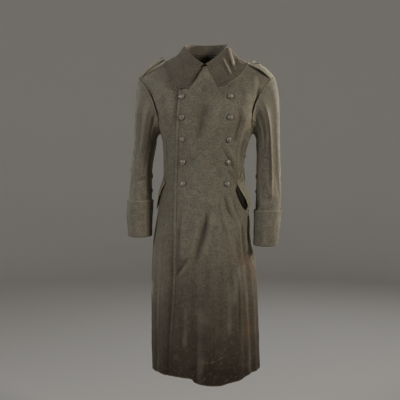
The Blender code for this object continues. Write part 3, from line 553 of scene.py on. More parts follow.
# Marks on the cloth: middle, radii, colour and strength; most are stains, and some rows, marked below, are
# painted light and shade
STAINS_AND_PAINTED_LIGHT = table(
    "x y z rx ry rz colour strength",
    # darker patches on the upper chest, by the collar and at the wearer's left shoulder
    (-0.010, -0.125, -0.190, 0.060, 0.10, 0.110, "#484439", 0.34),
    (0.060, -0.110, -0.125, 0.090, 0.09, 0.055, "#433E36", 0.50),
    (0.170, -0.050, -0.085, 0.055, 0.06, 0.050, "#433E36", 0.55),
    # painted highlight: a pale patch where the cloth bulges beside the wearer's left arm and catches the
    # light
    (0.166, -0.085, -0.225, 0.024, 0.05, 0.095, "#B0A790", 0.62),
    # rust and other stains on the skirt, and a pale mark on the wearer's right side
    (0.150, -0.100, -0.745, 0.034, 0.06, 0.034, "#785A4A", 0.60),
    (0.176, -0.070, -0.790, 0.022, 0.06, 0.060, "#6F5242", 0.40),
    (0.166, -0.100, -0.960, 0.045, 0.08, 0.100, "#54412F", 0.45),
    (0.160, -0.110, -1.010, 0.024, 0.06, 0.030, "#644938", 0.50),
    (0.098, -0.130, -0.700, 0.030, 0.05, 0.045, "#7D6A58", 0.40),
    (-0.200, -0.040, -0.866, 0.012, 0.03, 0.034, "#A89B82", 0.55),
    # painted shade over the upper end of the wearer's left pocket flap, which is turned away from the light
    (0.122, -0.072, -0.442, 0.044, 0.06, 0.046, "#5D5848", 0.95),
    # painted shadow of the arm over the wearer's right pocket flap and the cloth round it
    (-0.165, -0.020, -0.510, 0.060, 0.15, 0.130, "#5D5848", 0.90),
    # painted light that brightens the side of the skirt at the wearer's right
    (-0.160, -0.060, -0.770, 0.050, 0.12, 0.170, "#7B7666", 0.42),
)

# A colour mix node's two colours and its result, by their places among its sockets
MIX_A, MIX_B, MIXED = 6, 7, 2


def smooth(value):
    """Eased step from 0 to 1."""
    value = np.clip(value, 0.0, 1.0)
    return value * value * (3 - 2 * value)


def read_at(rows, key, name, place):
    """A column of a table read at places along its key column, as a smooth curve through the rows."""
    keys = np.array([row[key] for row in rows], float)
    values = np.array([row[name] for row in rows], float)
    if keys[0] > keys[-1]:
        keys, values = keys[::-1], values[::-1]
    low = np.maximum(np.arange(len(keys)) - 1, 0)
    high = np.minimum(np.arange(len(keys)) + 1, len(keys) - 1)
    slope = (values[high] - values[low]) / (keys[high] - keys[low])
    place = np.clip(place, keys[0], keys[-1])
    i = np.clip(np.searchsorted(keys, place, side="right") - 1, 0, len(keys) - 2)
    span = keys[i + 1] - keys[i]
    t = (place - keys[i]) / span
    rise = values[i + 1] - values[i]
    a = slope[i] * span - rise
    b = rise - slope[i + 1] * span
    return values[i] + t * rise + t * (1 - t) * ((1 - t) * a + t * b)


def unit(vectors):
    """The same directions, each of length 1."""
    return vectors / np.maximum(np.linalg.norm(vectors, axis=-1, keepdims=True), 1e-12)


def half_width(x, z):
    """How far the body reaches to that side at a height."""
    return np.where(x >= 0, read_at(SECTIONS, "z", "left", z), read_at(SECTIONS, "z", "right", z))


def half_depth(face, z):
    """How far the body reaches to the back or the front at a height."""
    return np.where(face > 0, read_at(SECTIONS, "z", "back", z), read_at(SECTIONS, "z", "front", z))


def shoulder_z(x):
    """Height of the sloping shoulder line."""
    return SHOULDER_TIP[1] + (SHOULDER_TIP[0] - abs(x)) * SHOULDER_SLOPE


def angle_of(x, z, face):
    """Degrees round the body: 0 at centre front, 90 at the wearer's left side, 180 at centre back."""
    share = np.minimum(1.0, abs(x) / half_width(x, z)) ** (BODY_ROUNDING / 2)
    turn = np.degrees(np.arcsin(share))
    return np.copysign(np.where(face > 0, 180 - turn, turn), x)


def fold_rise(angle, z):
    """How far the large folds move the cloth outwards there."""
    total = np.zeros(np.broadcast(angle, z).shape)
    for fold in FOLDS:
        along = (fold["z_top"] - z) / (fold["z_top"] - fold["z_low"])
        middle = fold["angle_top"] + (fold["angle_low"] - fold["angle_top"]) * along
        across = np.minimum(abs((angle - middle + 180) % 360 - 180) / fold["spread"], 1)
        ends = smooth(along / FOLD_TAPER)
        if not fold["to_hem"]:
            ends = ends * smooth((1 - along) / FOLD_TAPER)
        total += fold["rise"] * ends * (0.5 + 0.5 * np.cos(np.pi * across))
    return total


def overlap_lift(x, z):
    """The outer front lies over the under front, and comes back to the body past its edge."""
    past_edge = smooth((x - UNDER_EDGE - LAP_PAST_EDGE) / LAP_END_RUN)
    at_neck = smooth((z - LAP_TOP_Z) / LAP_TOP_RUN)
    return OVERLAP_LIFT * (1 - past_edge) * (1 - at_neck)


def body_points(x, z, face, lift=0.0, depth=None):
    """Points of the coat body's outer surface and their outward directions; face is 1 on the back."""
    width = half_width(x, z)
    across = np.minimum(1.0, abs(x) / width)
    reach = half_depth(face, z)
    if depth is None:
        depth = reach * (1 - across**BODY_ROUNDING) ** (1 / BODY_ROUNDING)
    height = shoulder_z(x) - ARMPIT_Z
    up = np.clip((z - ARMPIT_Z) / height, 0, 1)
    depth = depth * (1 - up**SHOULDER_ROUNDING) ** (1 / SHOULDER_ROUNDING)
    power = BODY_ROUNDING - 1
    out_x = np.copysign(across**power / width, x)
    out_y = face * (depth / reach) ** power / reach
    level = unit(np.stack([out_x, out_y, 0 * z], -1))
    out = unit(np.stack([out_x, out_y, up ** (SHOULDER_ROUNDING - 1) / height], -1))
    rise = lift + fold_rise(angle_of(x, z, face), z)
    return np.stack([x, face * depth, z], -1) + level * rise[..., None], out


def round_points(angle, z, lift=0.0):
    """The same surface read at an angle round the body, which also suits its steep sides."""
    turn = np.radians(angle)
    face = np.where(np.cos(turn) < 0, 1.0, -1.0)
    across, along = np.sin(turn), abs(np.cos(turn))
    x = np.copysign(half_width(across, z) * abs(across) ** (2 / BODY_ROUNDING), across)
    depth = half_depth(face, z) * along ** (2 / BODY_ROUNDING)
    return body_points(x, z, face, lift, depth)


def crease_rise(creases, degree, angle, z):
    """How far the creases move the cloth at each place; degree is the metres across one degree."""
    total = np.zeros(angle.shape)
    t = np.linspace(0, 1, 17)
    for row in creases:
        turns = [0, (row["a1"] - row["a0"] + 180) % 360 - 180, (row["a2"] - row["a0"] + 180) % 360 - 180]
        weights = [(1 - t) * (1 - 2 * t), 4 * t * (1 - t), t * (2 * t - 1)]
        path_x = sum(w * v for w, v in zip(weights, turns, strict=True)) * degree
        path_z = sum(w * row[k] for w, k in zip(weights, ("z0", "z1", "z2"), strict=True))
        x = ((angle - row["a0"] + 180) % 360 - 180) * degree
        wide = row["width"]
        near = (x > path_x.min() - wide) & (x < path_x.max() + wide)
        near &= (z > path_z.min() - wide) & (z < path_z.max() + wide)
        if not near.any():
            continue
        px, pz = x[near][:, None], z[near][:, None]
        step_x, step_z = np.diff(path_x), np.diff(path_z)
        part = (px - path_x[:-1]) * step_x + (pz - path_z[:-1]) * step_z
        part = np.clip(part / (step_x**2 + step_z**2), 0, 1)
        gap = np.hypot(px - path_x[:-1] - part * step_x, pz - path_z[:-1] - part * step_z)
        best = gap.argmin(1)
        pick = np.arange(len(best))
        along = (best + part[pick, best]) / (len(t) - 1)
        across = np.minimum(gap[pick, best] / wide, 1)
        ends = smooth(along / CREASE_TAPER) * smooth((1 - along) / CREASE_TAPER)
        total[near] += row["rise"] * ends * (0.5 + 0.5 * np.cos(np.pi * across)) ** row["pinch"]
    return total


def slack(points):
    """Small uneven waves that heavy cloth keeps everywhere, in metres."""
    (broad, broad_count), (fine, fine_count) = SLACK_BROAD, SLACK_FINE
    aside = Vector((7, 3, 1))
    waves = [
        broad * noise.noise(Vector(p) * broad_count) + fine * noise.noise(Vector(p) * fine_count + aside)
        for p in points.reshape(-1, 3)
    ]
    return np.array(waves).reshape(points.shape[:-1])


def edge_distances(points):
    """Metres along the cloth from the first and last column and from the first and last row."""
    across = np.linalg.norm(np.diff(points, axis=1), axis=2)
    along = np.linalg.norm(np.diff(points, axis=0), axis=2)
    from_left = np.pad(np.cumsum(across, 1), ((0, 0), (1, 0)))
    from_low = np.pad(np.cumsum(along, 0), ((1, 0), (0, 0)))
    return {
        "first_column": from_left,
        "last_column": from_left[:, -1:] - from_left,
        "first_row": from_low,
        "last_row": from_low[-1:] - from_low,
    }


def seam_dip(distance):
    """Sewn cloth dips into its seam and swells a little beside it."""
    dip = -SEAM_DIP * (1 - smooth(distance / SEAM_DIP_RUN))
    return dip + SEAM_SWELL * np.sin(np.pi * np.clip((distance - SEAM_SWELL_START) / SEAM_SWELL_RUN, 0, 1))


def stitched_edge(distance, stitch_at):
    """A turned edge is a little thicker than the cloth, and its row of stitches pulls it in."""
    swell = TURNED_SWELL * np.sin(np.pi * np.clip(distance / stitch_at, 0, 1))
    return swell - STITCH_DIP * (1 - smooth(abs(distance - stitch_at) / STITCH_DIP_RUN))


def edge_wear(distance, wear):
    """How rubbed a turned edge is at a distance from it."""
    strength, run = wear
    return strength * np.exp(-distance / run)


def eased_shares(count, wide, both_ends=True):
    """Shares from 0 to 1, closer together near the last end or near both; wide is the whole in metres."""
    fine = np.array(BESIDE_EDGE) / wide
    start = fine if both_ends else fine[:1]
    middle = np.linspace(start[-1], 1 - fine[-1], count - len(start) - len(fine) + 3)[1:-1]
    return np.concatenate([start, middle, 1 - fine[::-1]])


def armhole_xz(share, face):
    """X and Z on the armhole seam, 0 at the underarm and 1 at the shoulder tip."""
    low, high = ARMHOLE[0]["z"], ARMHOLE[-1]["z"]
    z = low + (high - low) * (0.5 - 0.5 * np.cos(np.pi * share)) ** ARMHOLE_BUNCHING
    return np.where(face > 0, read_at(ARMHOLE, "z", "back", z), read_at(ARMHOLE, "z", "front", z)), z


def neckline_xz(share, is_back):
    """X and Z on the neckline, 0 in the middle and 1 at the shoulder line."""
    low = NECK_BACK_Z if is_back else NECK_FRONT_Z
    turn = share * np.pi / 2
    x = NECK_HALF_WIDTH * np.sin(turn)
    return x, low + (shoulder_z(NECK_HALF_WIDTH) - low) * (1 - np.cos(turn))


def inner_boundary(side, is_back):
    """X and Z up the panel's inner edge above the armpit, then along the neckline, and both shares."""
    up = np.arange(1, EDGE_ROWS + 1) / EDGE_ROWS
    z = ARMPIT_Z + ((NECK_BACK_Z if is_back else EDGE_CORNER_Z) - ARMPIT_Z) * up
    if is_back:
        x = np.full(up.shape, SEAM / 2)
    else:
        x = read_at(OUTER_EDGE, "z", "x", z) if side > 0 else np.full(up.shape, -UNDER_EDGE)
        corner_x = (x[-1], x[-1] / 2, 0)
        corner_z = (z[-1], (z[-1] + NECK_FRONT_Z) / 2 + CORNER_RAISE, NECK_FRONT_Z)
        t = np.arange(1, CORNER_ROWS + 1) / UPPER_STEP
        x = np.append(x, np.interp(t, (0, 1, 2), corner_x))
        z = np.append(z, np.interp(t, (0, 1, 2), corner_z))
    neck = 1 - (1 - np.arange(1, NECK_ROWS + 1) / NECK_ROWS) ** NECK_BUNCHING
    neck_x, neck_z = neckline_xz(neck, is_back)
    steps, neck_steps = len(x) / UPPER_STEP, NECK_ROWS // UPPER_STEP
    shares = np.append(np.arange(1, len(x) + 1) / UPPER_STEP, steps + neck_steps * neck)
    shares = shares / (steps + neck_steps)
    return np.append(x, neck_x), np.append(z, neck_z), shares


def upper_part(side, is_back, lower_top):
    """X, Z of the rows above the armpit, spread as the last row below it is."""
    base = side * lower_top[:, 0]
    spread = ((base - base[0]) / (base[-1] - base[0]))[None, :]
    x0, z0, shares = inner_boundary(side, is_back)
    x1, z1 = armhole_xz(shares, 1.0 if is_back else -1.0)
    return (
        x0[:, None] + (x1 - x0)[:, None] * spread,
        z0[:, None] + (z1 - z0)[:, None] * spread,
    )


def body_panel(side, is_back):
    """A front or back panel from hem to shoulder, its outward directions and angles."""
    face = 1.0 if is_back else -1.0
    is_outer = side > 0 and not is_back
    seam = math.degrees(SEAM / 2 / SIDE_REACH)
    columns, wide = (BACK_COLUMNS, BACK_WIDE) if is_back else (FRONT_COLUMNS, FRONT_WIDE)
    shares = eased_shares(columns, wide)[None, :]
    up = (np.arange(LOWER_ROWS + 1) / LOWER_ROWS)[:, None]
    z = np.full((LOWER_ROWS + 1, shares.shape[1]), ARMPIT_Z)
    for _ in range(3):
        if is_back:
            angle = side * (180 + (90 + seam - 180) * shares) + 0 * z
        else:
            edge = read_at(OUTER_EDGE, "z", "x", z) if side > 0 else -UNDER_EDGE + 0 * z
            start = -abs(angle_of(edge, z, -1.0))
            angle = side * (start + (90 - seam - start) * shares)
        hem = read_at(HEM, "angle", "z", angle)
        z = hem + (ARMPIT_Z - hem) * up
    points, out = round_points(angle, z)
    if is_outer:
        points, out = round_points(angle, z, overlap_lift(points[..., 0], z))
    if is_back:
        points[:, 0, 0] = side * SEAM / 2
    x, z = upper_part(side, is_back, points[-1])
    more, more_out = body_points(side * x, z, face, overlap_lift(x, z) * is_outer)
    more[..., 1] = np.maximum(more[..., 1], SEAM / 2) if is_back else np.minimum(more[..., 1], -SEAM / 2)
    angle = np.concatenate([angle, angle_of(side * x, z, face)])
    return np.concatenate([points, more]), np.concatenate([out, more_out]), angle


def button_pull(points):
    """Each button draws the cloth in round its shank."""
    total = np.zeros(points.shape[:-1])
    for row in BUTTONS:
        for column in ("a_x", "b_x"):
            gap = np.hypot(points[..., 0] - row[column], points[..., 2] - row["z"])
            total -= BUTTON_PULL * (1 - smooth(gap / BUTTON_PULL_RUN)) * (points[..., 1] < 0)
    return total


def worn_panel(side, is_back):
    """A body panel with its creases, seams and stitched edge, and its relief for the material, to which
    painted shade is added along the front's edge.
    """
    points, out, angle = body_panel(side, is_back)
    relief = BODY_CREASING * crease_rise(BODY_CREASES, BODY_DEGREE, angle, points[..., 2]) + slack(points)
    ends = edge_distances(points)
    rise = relief + button_pull(points)
    rise += seam_dip(ends["last_column"]) + seam_dip(ends["last_row"])
    wear = edge_wear(ends["first_row"], HEM_WEAR)
    if is_back:
        rise += seam_dip(ends["first_column"])
    elif side > 0:
        sewn = stitched_edge(ends["first_column"], EDGE_STITCH)
        rise += sewn
        # The stitching's groove is darkened in the colour only, as painted shade, and the turned edge's swell
        # a little paler
        relief = relief + EDGE_STITCH_PAINTED_SHADE * sewn
        wear = np.maximum(wear, edge_wear(ends["first_column"], FRONT_EDGE_WEAR))
    else:
        # Painted shadow on the under front along the outer front's edge, where it laps over
        beside = (points[..., 0] - read_at(OUTER_EDGE, "z", "x", points[..., 2])) / EDGE_PAINTED_SHADOW_RUN
        relief = relief - EDGE_PAINTED_SHADOW * np.exp(-(beside**2))
    return {"points": points + out * rise[..., None], "out": out, "relief": relief, "wear": wear}


def armhole_points(side, turn):
    """The armhole seam read round the arm: 0 outermost, 90 front, 180 underarm, 270 back."""
    face = np.where(turn > 180, 1.0, -1.0)
    share = np.where(turn > 180, 360 - turn, turn) / 180
    x, z = armhole_xz(1 - share, face)
    points, _ = body_points(side * x, z, face)
    points[..., 1] = np.where((share < 1e-6) | (share > 1 - 1e-6), 0, points[..., 1])
    return points


def ring_points(side, name, turn, z, lift=0.0):
    """The sleeve below the armhole, read round the arm."""
    rows = SLEEVES[name]
    inner, outer = (read_at(rows, "z", key, z) for key in ("inner", "outer"))
    half, depth = (outer - inner) / 2 + lift, read_at(rows, "z", "depth", z) + lift
    a = np.radians(turn)
    power = 2 / SLEEVE_ROUNDING
    x = (inner + outer) / 2 + np.copysign(half * abs(np.cos(a)) ** power, np.cos(a))
    y = read_at(rows, "z", "middle", z) - np.copysign(depth * abs(np.sin(a)) ** power, np.sin(a))
    return np.stack([side * x, y, z + 0 * x], -1)


def sleeve_turns():
    """Angles once round the arm from the back seam, closer together at both seams."""
    under = eased_shares(SLEEVE_COLUMNS // 3, UNDER_SLEEVE_WIDE)
    top = eased_shares(SLEEVE_COLUMNS * 2 // 3, TOP_SLEEVE_WIDE)
    over = FRONT_SEAM_TURN + 360 - BACK_SEAM_TURN
    turns = np.append(BACK_SEAM_TURN + over * top, BACK_SEAM_TURN + over + (360 - over) * under[1:])
    return turns[None, :] % 360, len(top)


def ring_out(side, points):
    """Outward directions of rows of points that close round the arm."""
    along = np.gradient(points, axis=0)
    loop = np.concatenate([points[:, -2:-1], points, points[:, 1:2]], 1)
    across = (loop[:, 2:] - loop[:, :-2]) / 2
    return unit(np.cross(across, along)) * side


def split_at_seams(points, out, relief, wear, top_count, sewn=1.0):
    """The top and under pieces of a sleeve or cuff, dipped at the two seams that join them."""
    pieces = {}
    for part, columns in (("top", slice(0, top_count)), ("under", slice(top_count - 1, None))):
        ends = edge_distances(points[:, columns])
        dip = (seam_dip(ends["first_column"]) + seam_dip(ends["last_column"])) * sewn
        pieces[part] = {
            "points": points[:, columns] + out[:, columns] * dip[..., None],
            "out": out[:, columns],
            "relief": relief[:, columns],
            "wear": wear[:, columns],
        }
    return pieces


def worn_sleeve(side, name):
    """The sleeve's two pieces from cuff to armhole, with creases and seams."""
    turn, top_count = sleeve_turns()
    high, low = SLEEVES[name][0]["z"], SLEEVES[name][-1]["z"] + CUFF_DROP
    share = (np.linspace(0, 1, CAP_ROWS + 1)[:-1] ** CAP_BUNCHING)[:, None]
    start = armhole_points(side, turn) + np.array([side * SLEEVE_SEAM, 0, 0])
    end = ring_points(side, name, turn, high + 0 * turn)
    length = np.linalg.norm(end - start, axis=-1, keepdims=True)
    outermost = np.maximum(0.0, np.cos(np.radians(turn)))[..., None] ** 3
    lead = unit(np.array([side * SLEEVE_FULLNESS, 0, 0]) + unit(end - start))
    first = start + lead * length * (CAP_LEAD + (OUTERMOST_LEAD[name] - CAP_LEAD) * outermost)
    next_z = SLEEVES[name][1]["z"]
    below = ring_points(side, name, turn, next_z + 0 * turn)
    second = end + (end - below) / (high - next_z) * length * CAP_FALL
    t, u = share[..., None], 1 - share[..., None]
    cap = start * u**3 + first * (3 * u * u * t) + second * (3 * u * t * t) + end * t**3
    z = np.linspace(high, low, SLEEVE_ROWS)[:, None] + 0 * turn
    points = np.concatenate([cap, ring_points(side, name, turn, z)])[::-1]
    out = ring_out(side, points)
    angle = turn + 0 * points[..., 2]
    relief = SLEEVE_CREASING * crease_rise(SLEEVE_CREASES[name], SLEEVE_DEGREE, angle, points[..., 2])
    armhole = edge_distances(points)["last_row"]
    relief = (relief + slack(points)) * smooth(armhole / ARMHOLE_CALM)
    swell = CAP_SWELL * np.sin(np.pi * np.clip((armhole - CAP_SWELL_START) / CAP_SWELL_RUN, 0, 1))
    points = points + out * (relief + seam_dip(armhole) + swell)[..., None]
    return split_at_seams(points, out, relief, 0 * relief, top_count)


def worn_cuff(side, name):
    """The turned-back cuff's two pieces: up inside the sleeve, round its end and up outside."""
    turn, top_count = sleeve_turns()
    low, high = SLEEVES[name][-1]["z"], CUFF_TOPS[name]
    inside = -CLOTH - CUFF_CLEARANCE
    half, middle = (CUFF_LIFT - inside) / 2, (CUFF_LIFT + inside) / 2
    bend = np.radians(np.linspace(180, 360, 11))
    lifts = [inside] * 5 + list(middle + half * np.cos(bend))
    inner_top, inner_low = CUFF_INSIDE
    heights = list(np.linspace(low + inner_top, low + inner_low, 5))
    heights += list(low + CUFF_DROP + half * np.sin(bend))
    outer = np.arange(len(heights) + CUFF_ROWS - 1)[:, None] >= len(heights)
    share = np.linspace(0, 1, CUFF_ROWS)[1:] ** CUFF_BUNCHING
    lifts = np.append(lifts, CUFF_LIFT + CUFF_FLARE * share**2)
    heights = np.append(heights, low + CUFF_DROP + (high - low - CUFF_DROP) * share)
    points = ring_points(side, name, turn, heights[:, None] + 0 * turn, lifts[:, None])
    out = ring_out(side, points)
    angle = turn + 0 * points[..., 2]
    creases = crease_rise(CUFF_CREASES, SLEEVE_DEGREE, angle, points[..., 2] - high)
    relief = slack(points) * CUFF_SLACK + creases
    relief = relief * smooth((points[..., 2] - low) / CUFF_CALM) * outer
    rise = relief + stitched_edge(edge_distances(points)["last_row"], CUFF_STITCH)
    points = points + out * rise[..., None]
    worn_end = edge_wear(abs(points[..., 2] - low), CUFF_END_WEAR) * outer
    wear = np.maximum(worn_end, edge_wear(edge_distances(points)["last_row"], CUFF_TOP_WEAR))
    return split_at_seams(points, out, relief, wear, top_count, outer)


def faces_of(row_count, column_count, flip):
    """Quads of a grid whose points are listed row by row."""
    a = (np.arange(row_count - 1)[:, None] * column_count + np.arange(column_count - 1)).ravel()
    quads = np.stack([a, a + 1, a + column_count + 1, a + column_count], 1)
    return quads[:, ::-1] if flip else quads


def grid_tree(grids, flips):
    """One search tree over the flats of several grids, all facing out."""
    points, faces, first = [], [], 0
    for grid, flip in zip(grids, flips, strict=True):
        points += [Vector(p) for p in grid.reshape(-1, 3)]
        faces += (faces_of(*grid.shape[:2], flip) + first).tolist()
        first += grid.shape[0] * grid.shape[1]
    return BVHTree.FromPolygons(points, faces, epsilon=0.00001)


def body_form():
    """A closed-up copy of the upper body's surface, which collar and straps are laid on."""
    grids = []
    for face in (-1.0, 1.0):
        x = np.linspace(-FORM_REACH, FORM_REACH, 121)[None, :]
        share = np.sin(np.pi / 2 * np.linspace(0, 1, 79))[:, None]
        z = ARMPIT_Z + (shoulder_z(x) - ARMPIT_Z) * share
        x = x + 0 * z
        grids.append(body_points(x, z, face, overlap_lift(x, z) if face < 0 else 0 * x)[0])
    return grid_tree(grids, (False, True))


def height_over(form, point):
    """Nearest point of the form, its outward normal there, and the signed height over it."""
    place, normal, _, _ = form.find_nearest(point)
    return place, normal, (point - place).dot(normal)


def kept_off(panels, point, clearance):
    """The point, moved out of the panels where it lies closer to them than its clearance."""
    for _ in range(3):
        place, normal, height = height_over(panels, point)
        if height >= clearance:
            break
        point = place + normal * (clearance + 0.0001)
    return point


def collar_section(form, panels, turn):
    """One section of the collar: up the stand, over the fold and down the fall to its edge."""
    share = abs(turn) / 90
    is_back = share > 1
    x, z = neckline_xz(2 - share if is_back else share, is_back)
    base_x = np.array([math.copysign(float(x), turn)])
    base = Vector(body_points(base_x, np.array([float(z)]), 1.0 if is_back else -1.0)[0][0])
    fold = Vector([float(read_at(COLLAR, "turn", "fold_" + axis, turn)) for axis in "xyz"])
    edge = Vector([float(read_at(COLLAR, "turn", "edge_" + axis, turn)) for axis in "xyz"])
    inward = Vector((-base.x, NECK_MIDDLE_Y - base.y, 0)).normalized()
    outward = (edge - fold).normalized()
    outward.z = 0
    outward.normalize()
    base += inward * COLLAR_INSET + Vector((0, 0, COLLAR_RAISE))
    under_fold = fold + Vector((0, 0, -CLOTH - COLLAR_GAP))
    top = under_fold - outward * COLLAR_GAP
    points = [base.lerp(top, t) for t in np.linspace(0, 1, STAND_ROWS)]
    for angle in range(20, 180, 20):
        a = math.radians(angle)
        turned = outward * math.cos(a) - Vector((0, 0, math.sin(a)))
        points.append(under_fold - turned * COLLAR_GAP)
    start = under_fold + outward * COLLAR_GAP
    for t in eased_shares(FALL_ROWS, (edge - start).length, both_ends=False):
        point = start.lerp(edge, t)
        if t > 0:
            place, normal, height = height_over(form, point)
            point = place + normal * max(COLLAR_LAID, height * (1 - float(smooth(t / FALL_LAID_FROM))))
        points.append(kept_off(panels, point, COLLAR_LAID))
    return points


def worn_collar(form, panels):
    """The collar with its creases, stitched edge, rubbed edges and lifted leaf."""
    right_end, left_end = COLLAR_ENDS
    shares = eased_shares(COLLAR_COLUMNS, COLLAR_WIDE)
    turns = left_end + (360 + right_end - left_end) * shares
    turns = np.where(turns <= 180, turns, turns - 360)
    sections = [collar_section(form, panels, float(turn)) for turn in turns]
    points = np.array([[tuple(p) for p in section] for section in sections]).transpose(1, 0, 2)
    stand = points.shape[0] - FALL_ROWS - 1
    out = -unit(np.cross(np.gradient(points, axis=1), np.gradient(points, axis=0)))
    for _ in range(6):
        out[:, 1:-1] = unit(out[:, 1:-1] * 2 + out[:, :-2] + out[:, 2:])
    ends = edge_distances(points)
    fall = np.maximum(ends["first_row"] - ends["first_row"][stand][None, :], 0)
    angle = turns[None, :] + 0 * fall
    on_fall = smooth(fall / FOLD_CALM)
    creases = crease_rise(COLLAR_CREASES, COLLAR_DEGREE, angle, fall)
    relief = (creases + COLLAR_SLACK * slack(points)) * on_fall
    # Troughs deeper than this show in the colour only, as painted shade
    rise = np.maximum(relief, COLLAR_TROUGH)
    near = np.min([ends[key] for key in ("first_column", "last_column", "last_row")], 0)
    rise = rise + stitched_edge(near, COLLAR_STITCH) * on_fall
    rise = np.maximum(rise, STITCHED_TROUGH)
    rise += LEAF_LIFT * np.exp(-ends["last_column"] / LEAF_LIFT_RUN) * smooth(fall / LEAF_LIFT_FALL)

    # The wearer's left side is rubbed most, along its edge, its end and the fold; the ridges all round get a
    # painted highlight
    left_side = ROUND_RUB + LEFT_RUB * smooth((angle + 10) / 20) * smooth((130 - angle) / 30)
    wear = edge_wear(ends["last_row"], COLLAR_EDGE_WEAR) + edge_wear(ends["first_column"], COLLAR_END_WEAR)
    wear = left_side * np.maximum(wear, FOLD_RUB * np.exp(-((fall - FOLD_RUB_AT) ** 2) / 0.00003))
    wear = np.maximum(wear, np.clip((relief - RIDGE_HIGHLIGHT_FROM) / RIDGE_HIGHLIGHT_RUN, 0, 1)) * (fall > 0)
    return {"points": points + out * rise[..., None], "out": out, "relief": relief, "wear": wear}


def worn_strap(form, panels, side, size):
    """A shoulder strap from the armhole in to its free, rounded end."""
    rows = []
    for t in eased_shares(STRAP_LENGTHWISE, STRAP_LONG, both_ends=False):
        x = STRAP_OUTER + (size["inner"] - STRAP_OUTER) * t
        taper = STRAP_SEWN_WIDTH + (1 - STRAP_SEWN_WIDTH) * min(1.0, t * STRAP_WIDENING)
        past_straight = max(0.0, (t - 1 + STRAP_END) / STRAP_END)
        taper *= math.sqrt(1 - (1 - STRAP_END) * past_straight**2)
        row = []
        for across in np.linspace(-1, 1, STRAP_ACROSS):
            y = size["forward"] + STRAP_HALF_WIDTH * taper * across
            under = panels if t < STRAP_LEAVES else form
            place, normal, _ = height_over(under, Vector((side * x, y, float(shoulder_z(x)) + 0.004)))
            crown = STRAP_CROWN * float(smooth(t / STRAP_CROWN_RUN)) * (1 - across * across)
            bow = STRAP_RISE * float(smooth(t)) + size["arch"] * math.sin(math.pi * t)
            point = place + normal * (LAID + bow + crown)
            row.append(tuple(kept_off(panels, point, STRAP_LAID)))
        rows.append(row)
    return trim_piece(np.array(rows), sewn="first_row")


def worn_flap(panels, size, side):
    """A pocket flap from its sewn edge to its free edge, which gapes."""
    u = np.linspace(0, 1, FLAP_ALONG)[:, None]
    v = np.linspace(0, 1, FLAP_DOWN)[None, :]
    sewn, free = (
        [a + (b - a) * u for a, b in zip(*size[edge], strict=True)] for edge in ("sewn", "free")
    )
    angle, z = (a + (b - a) * v for a, b in zip(sewn, free, strict=True))
    gape = size["gape"] * np.sin(np.pi * (GAPE_START + GAPE_SPAN * u) ** size["skew"]) * v**FLAP_BELLY
    points, _ = round_points(angle, z, LAID_WIDE + gape)
    kept = [tuple(kept_off(panels, Vector(p), LAID_WIDE)) for p in points.reshape(-1, 3)]
    return trim_piece(np.array(kept).reshape(points.shape), sewn="first_column")


def trim_piece(points, sewn):
    """A small laid-on piece with its stitched edges, on every side but the one that it is sewn by."""
    out = unit(np.cross(np.gradient(points, axis=1), np.gradient(points, axis=0)))
    out = out * np.sign((out * (points - points.mean((0, 1)) * np.array([0.5, 0, 1]))).sum(-1).mean() or 1)
    ends = edge_distances(points)
    near = np.min([ends[key] for key in ends if key != sewn], 0)
    relief = TRIM_SLACK * slack(points)
    rise = np.maximum(relief + stitched_edge(near, TRIM_STITCH) * TRIM_PULL, TRIM_TROUGH)
    wear = edge_wear(near, TRIM_WEAR)
    return {"points": points + out * rise[..., None], "out": out, "relief": relief, "wear": wear}


def srgb(code):
    """Linear colour of an sRGB hex value."""
    parts = [int(code[i : i + 2], 16) / 255 for i in (1, 3, 5)]
    return tuple(c / 12.92 if c <= 0.04045 else ((c + 0.055) / 1.055) ** 2.4 for c in parts) + (1.0,)


def add_node(tree, kind, values=None):
    """A node with its settings and its inputs' values; a socket or a node there is linked to that input."""
    node = tree.nodes.new(kind)
    for key, value in (values or {}).items():
        if isinstance(value, bpy.types.Node):
            value = value.outputs[0]
        if isinstance(value, bpy.types.NodeSocket):
            tree.links.new(value, node.inputs[key])
        elif isinstance(key, str) and hasattr(node, key):
            setattr(node, key, value)
        else:
            node.inputs[key].default_value = value
    return node


def begin_material(name, finish):
    """A material with its shader's plain values set, its tree and its shader."""
    material = bpy.data.materials.new(name)
    material.use_nodes = True
    shader = material.node_tree.nodes["Principled BSDF"]
    for key, value in finish.items():
        shader.inputs[key].default_value = value
    return material, material.node_tree, shader


def two_shades(name, shades, grain, finish):
    """A material mottled between two shades, its tree and shader, and the noise that mottles it."""
    material, tree, shader = begin_material(name, finish)
    place = add_node(tree, "ShaderNodeTexCoord").outputs["Object"]
    mottling = add_node(tree, "ShaderNodeTexNoise", {**grain, "Vector": place}).outputs["Fac"]
    low, high = (srgb(shade) for shade in shades)
    colour = add_node(tree, "ShaderNodeMix", {"data_type": "RGBA", 0: mottling, MIX_A: low, MIX_B: high})
    tree.links.new(colour.outputs[MIXED], shader.inputs["Base Color"])
    return material, tree, shader, mottling


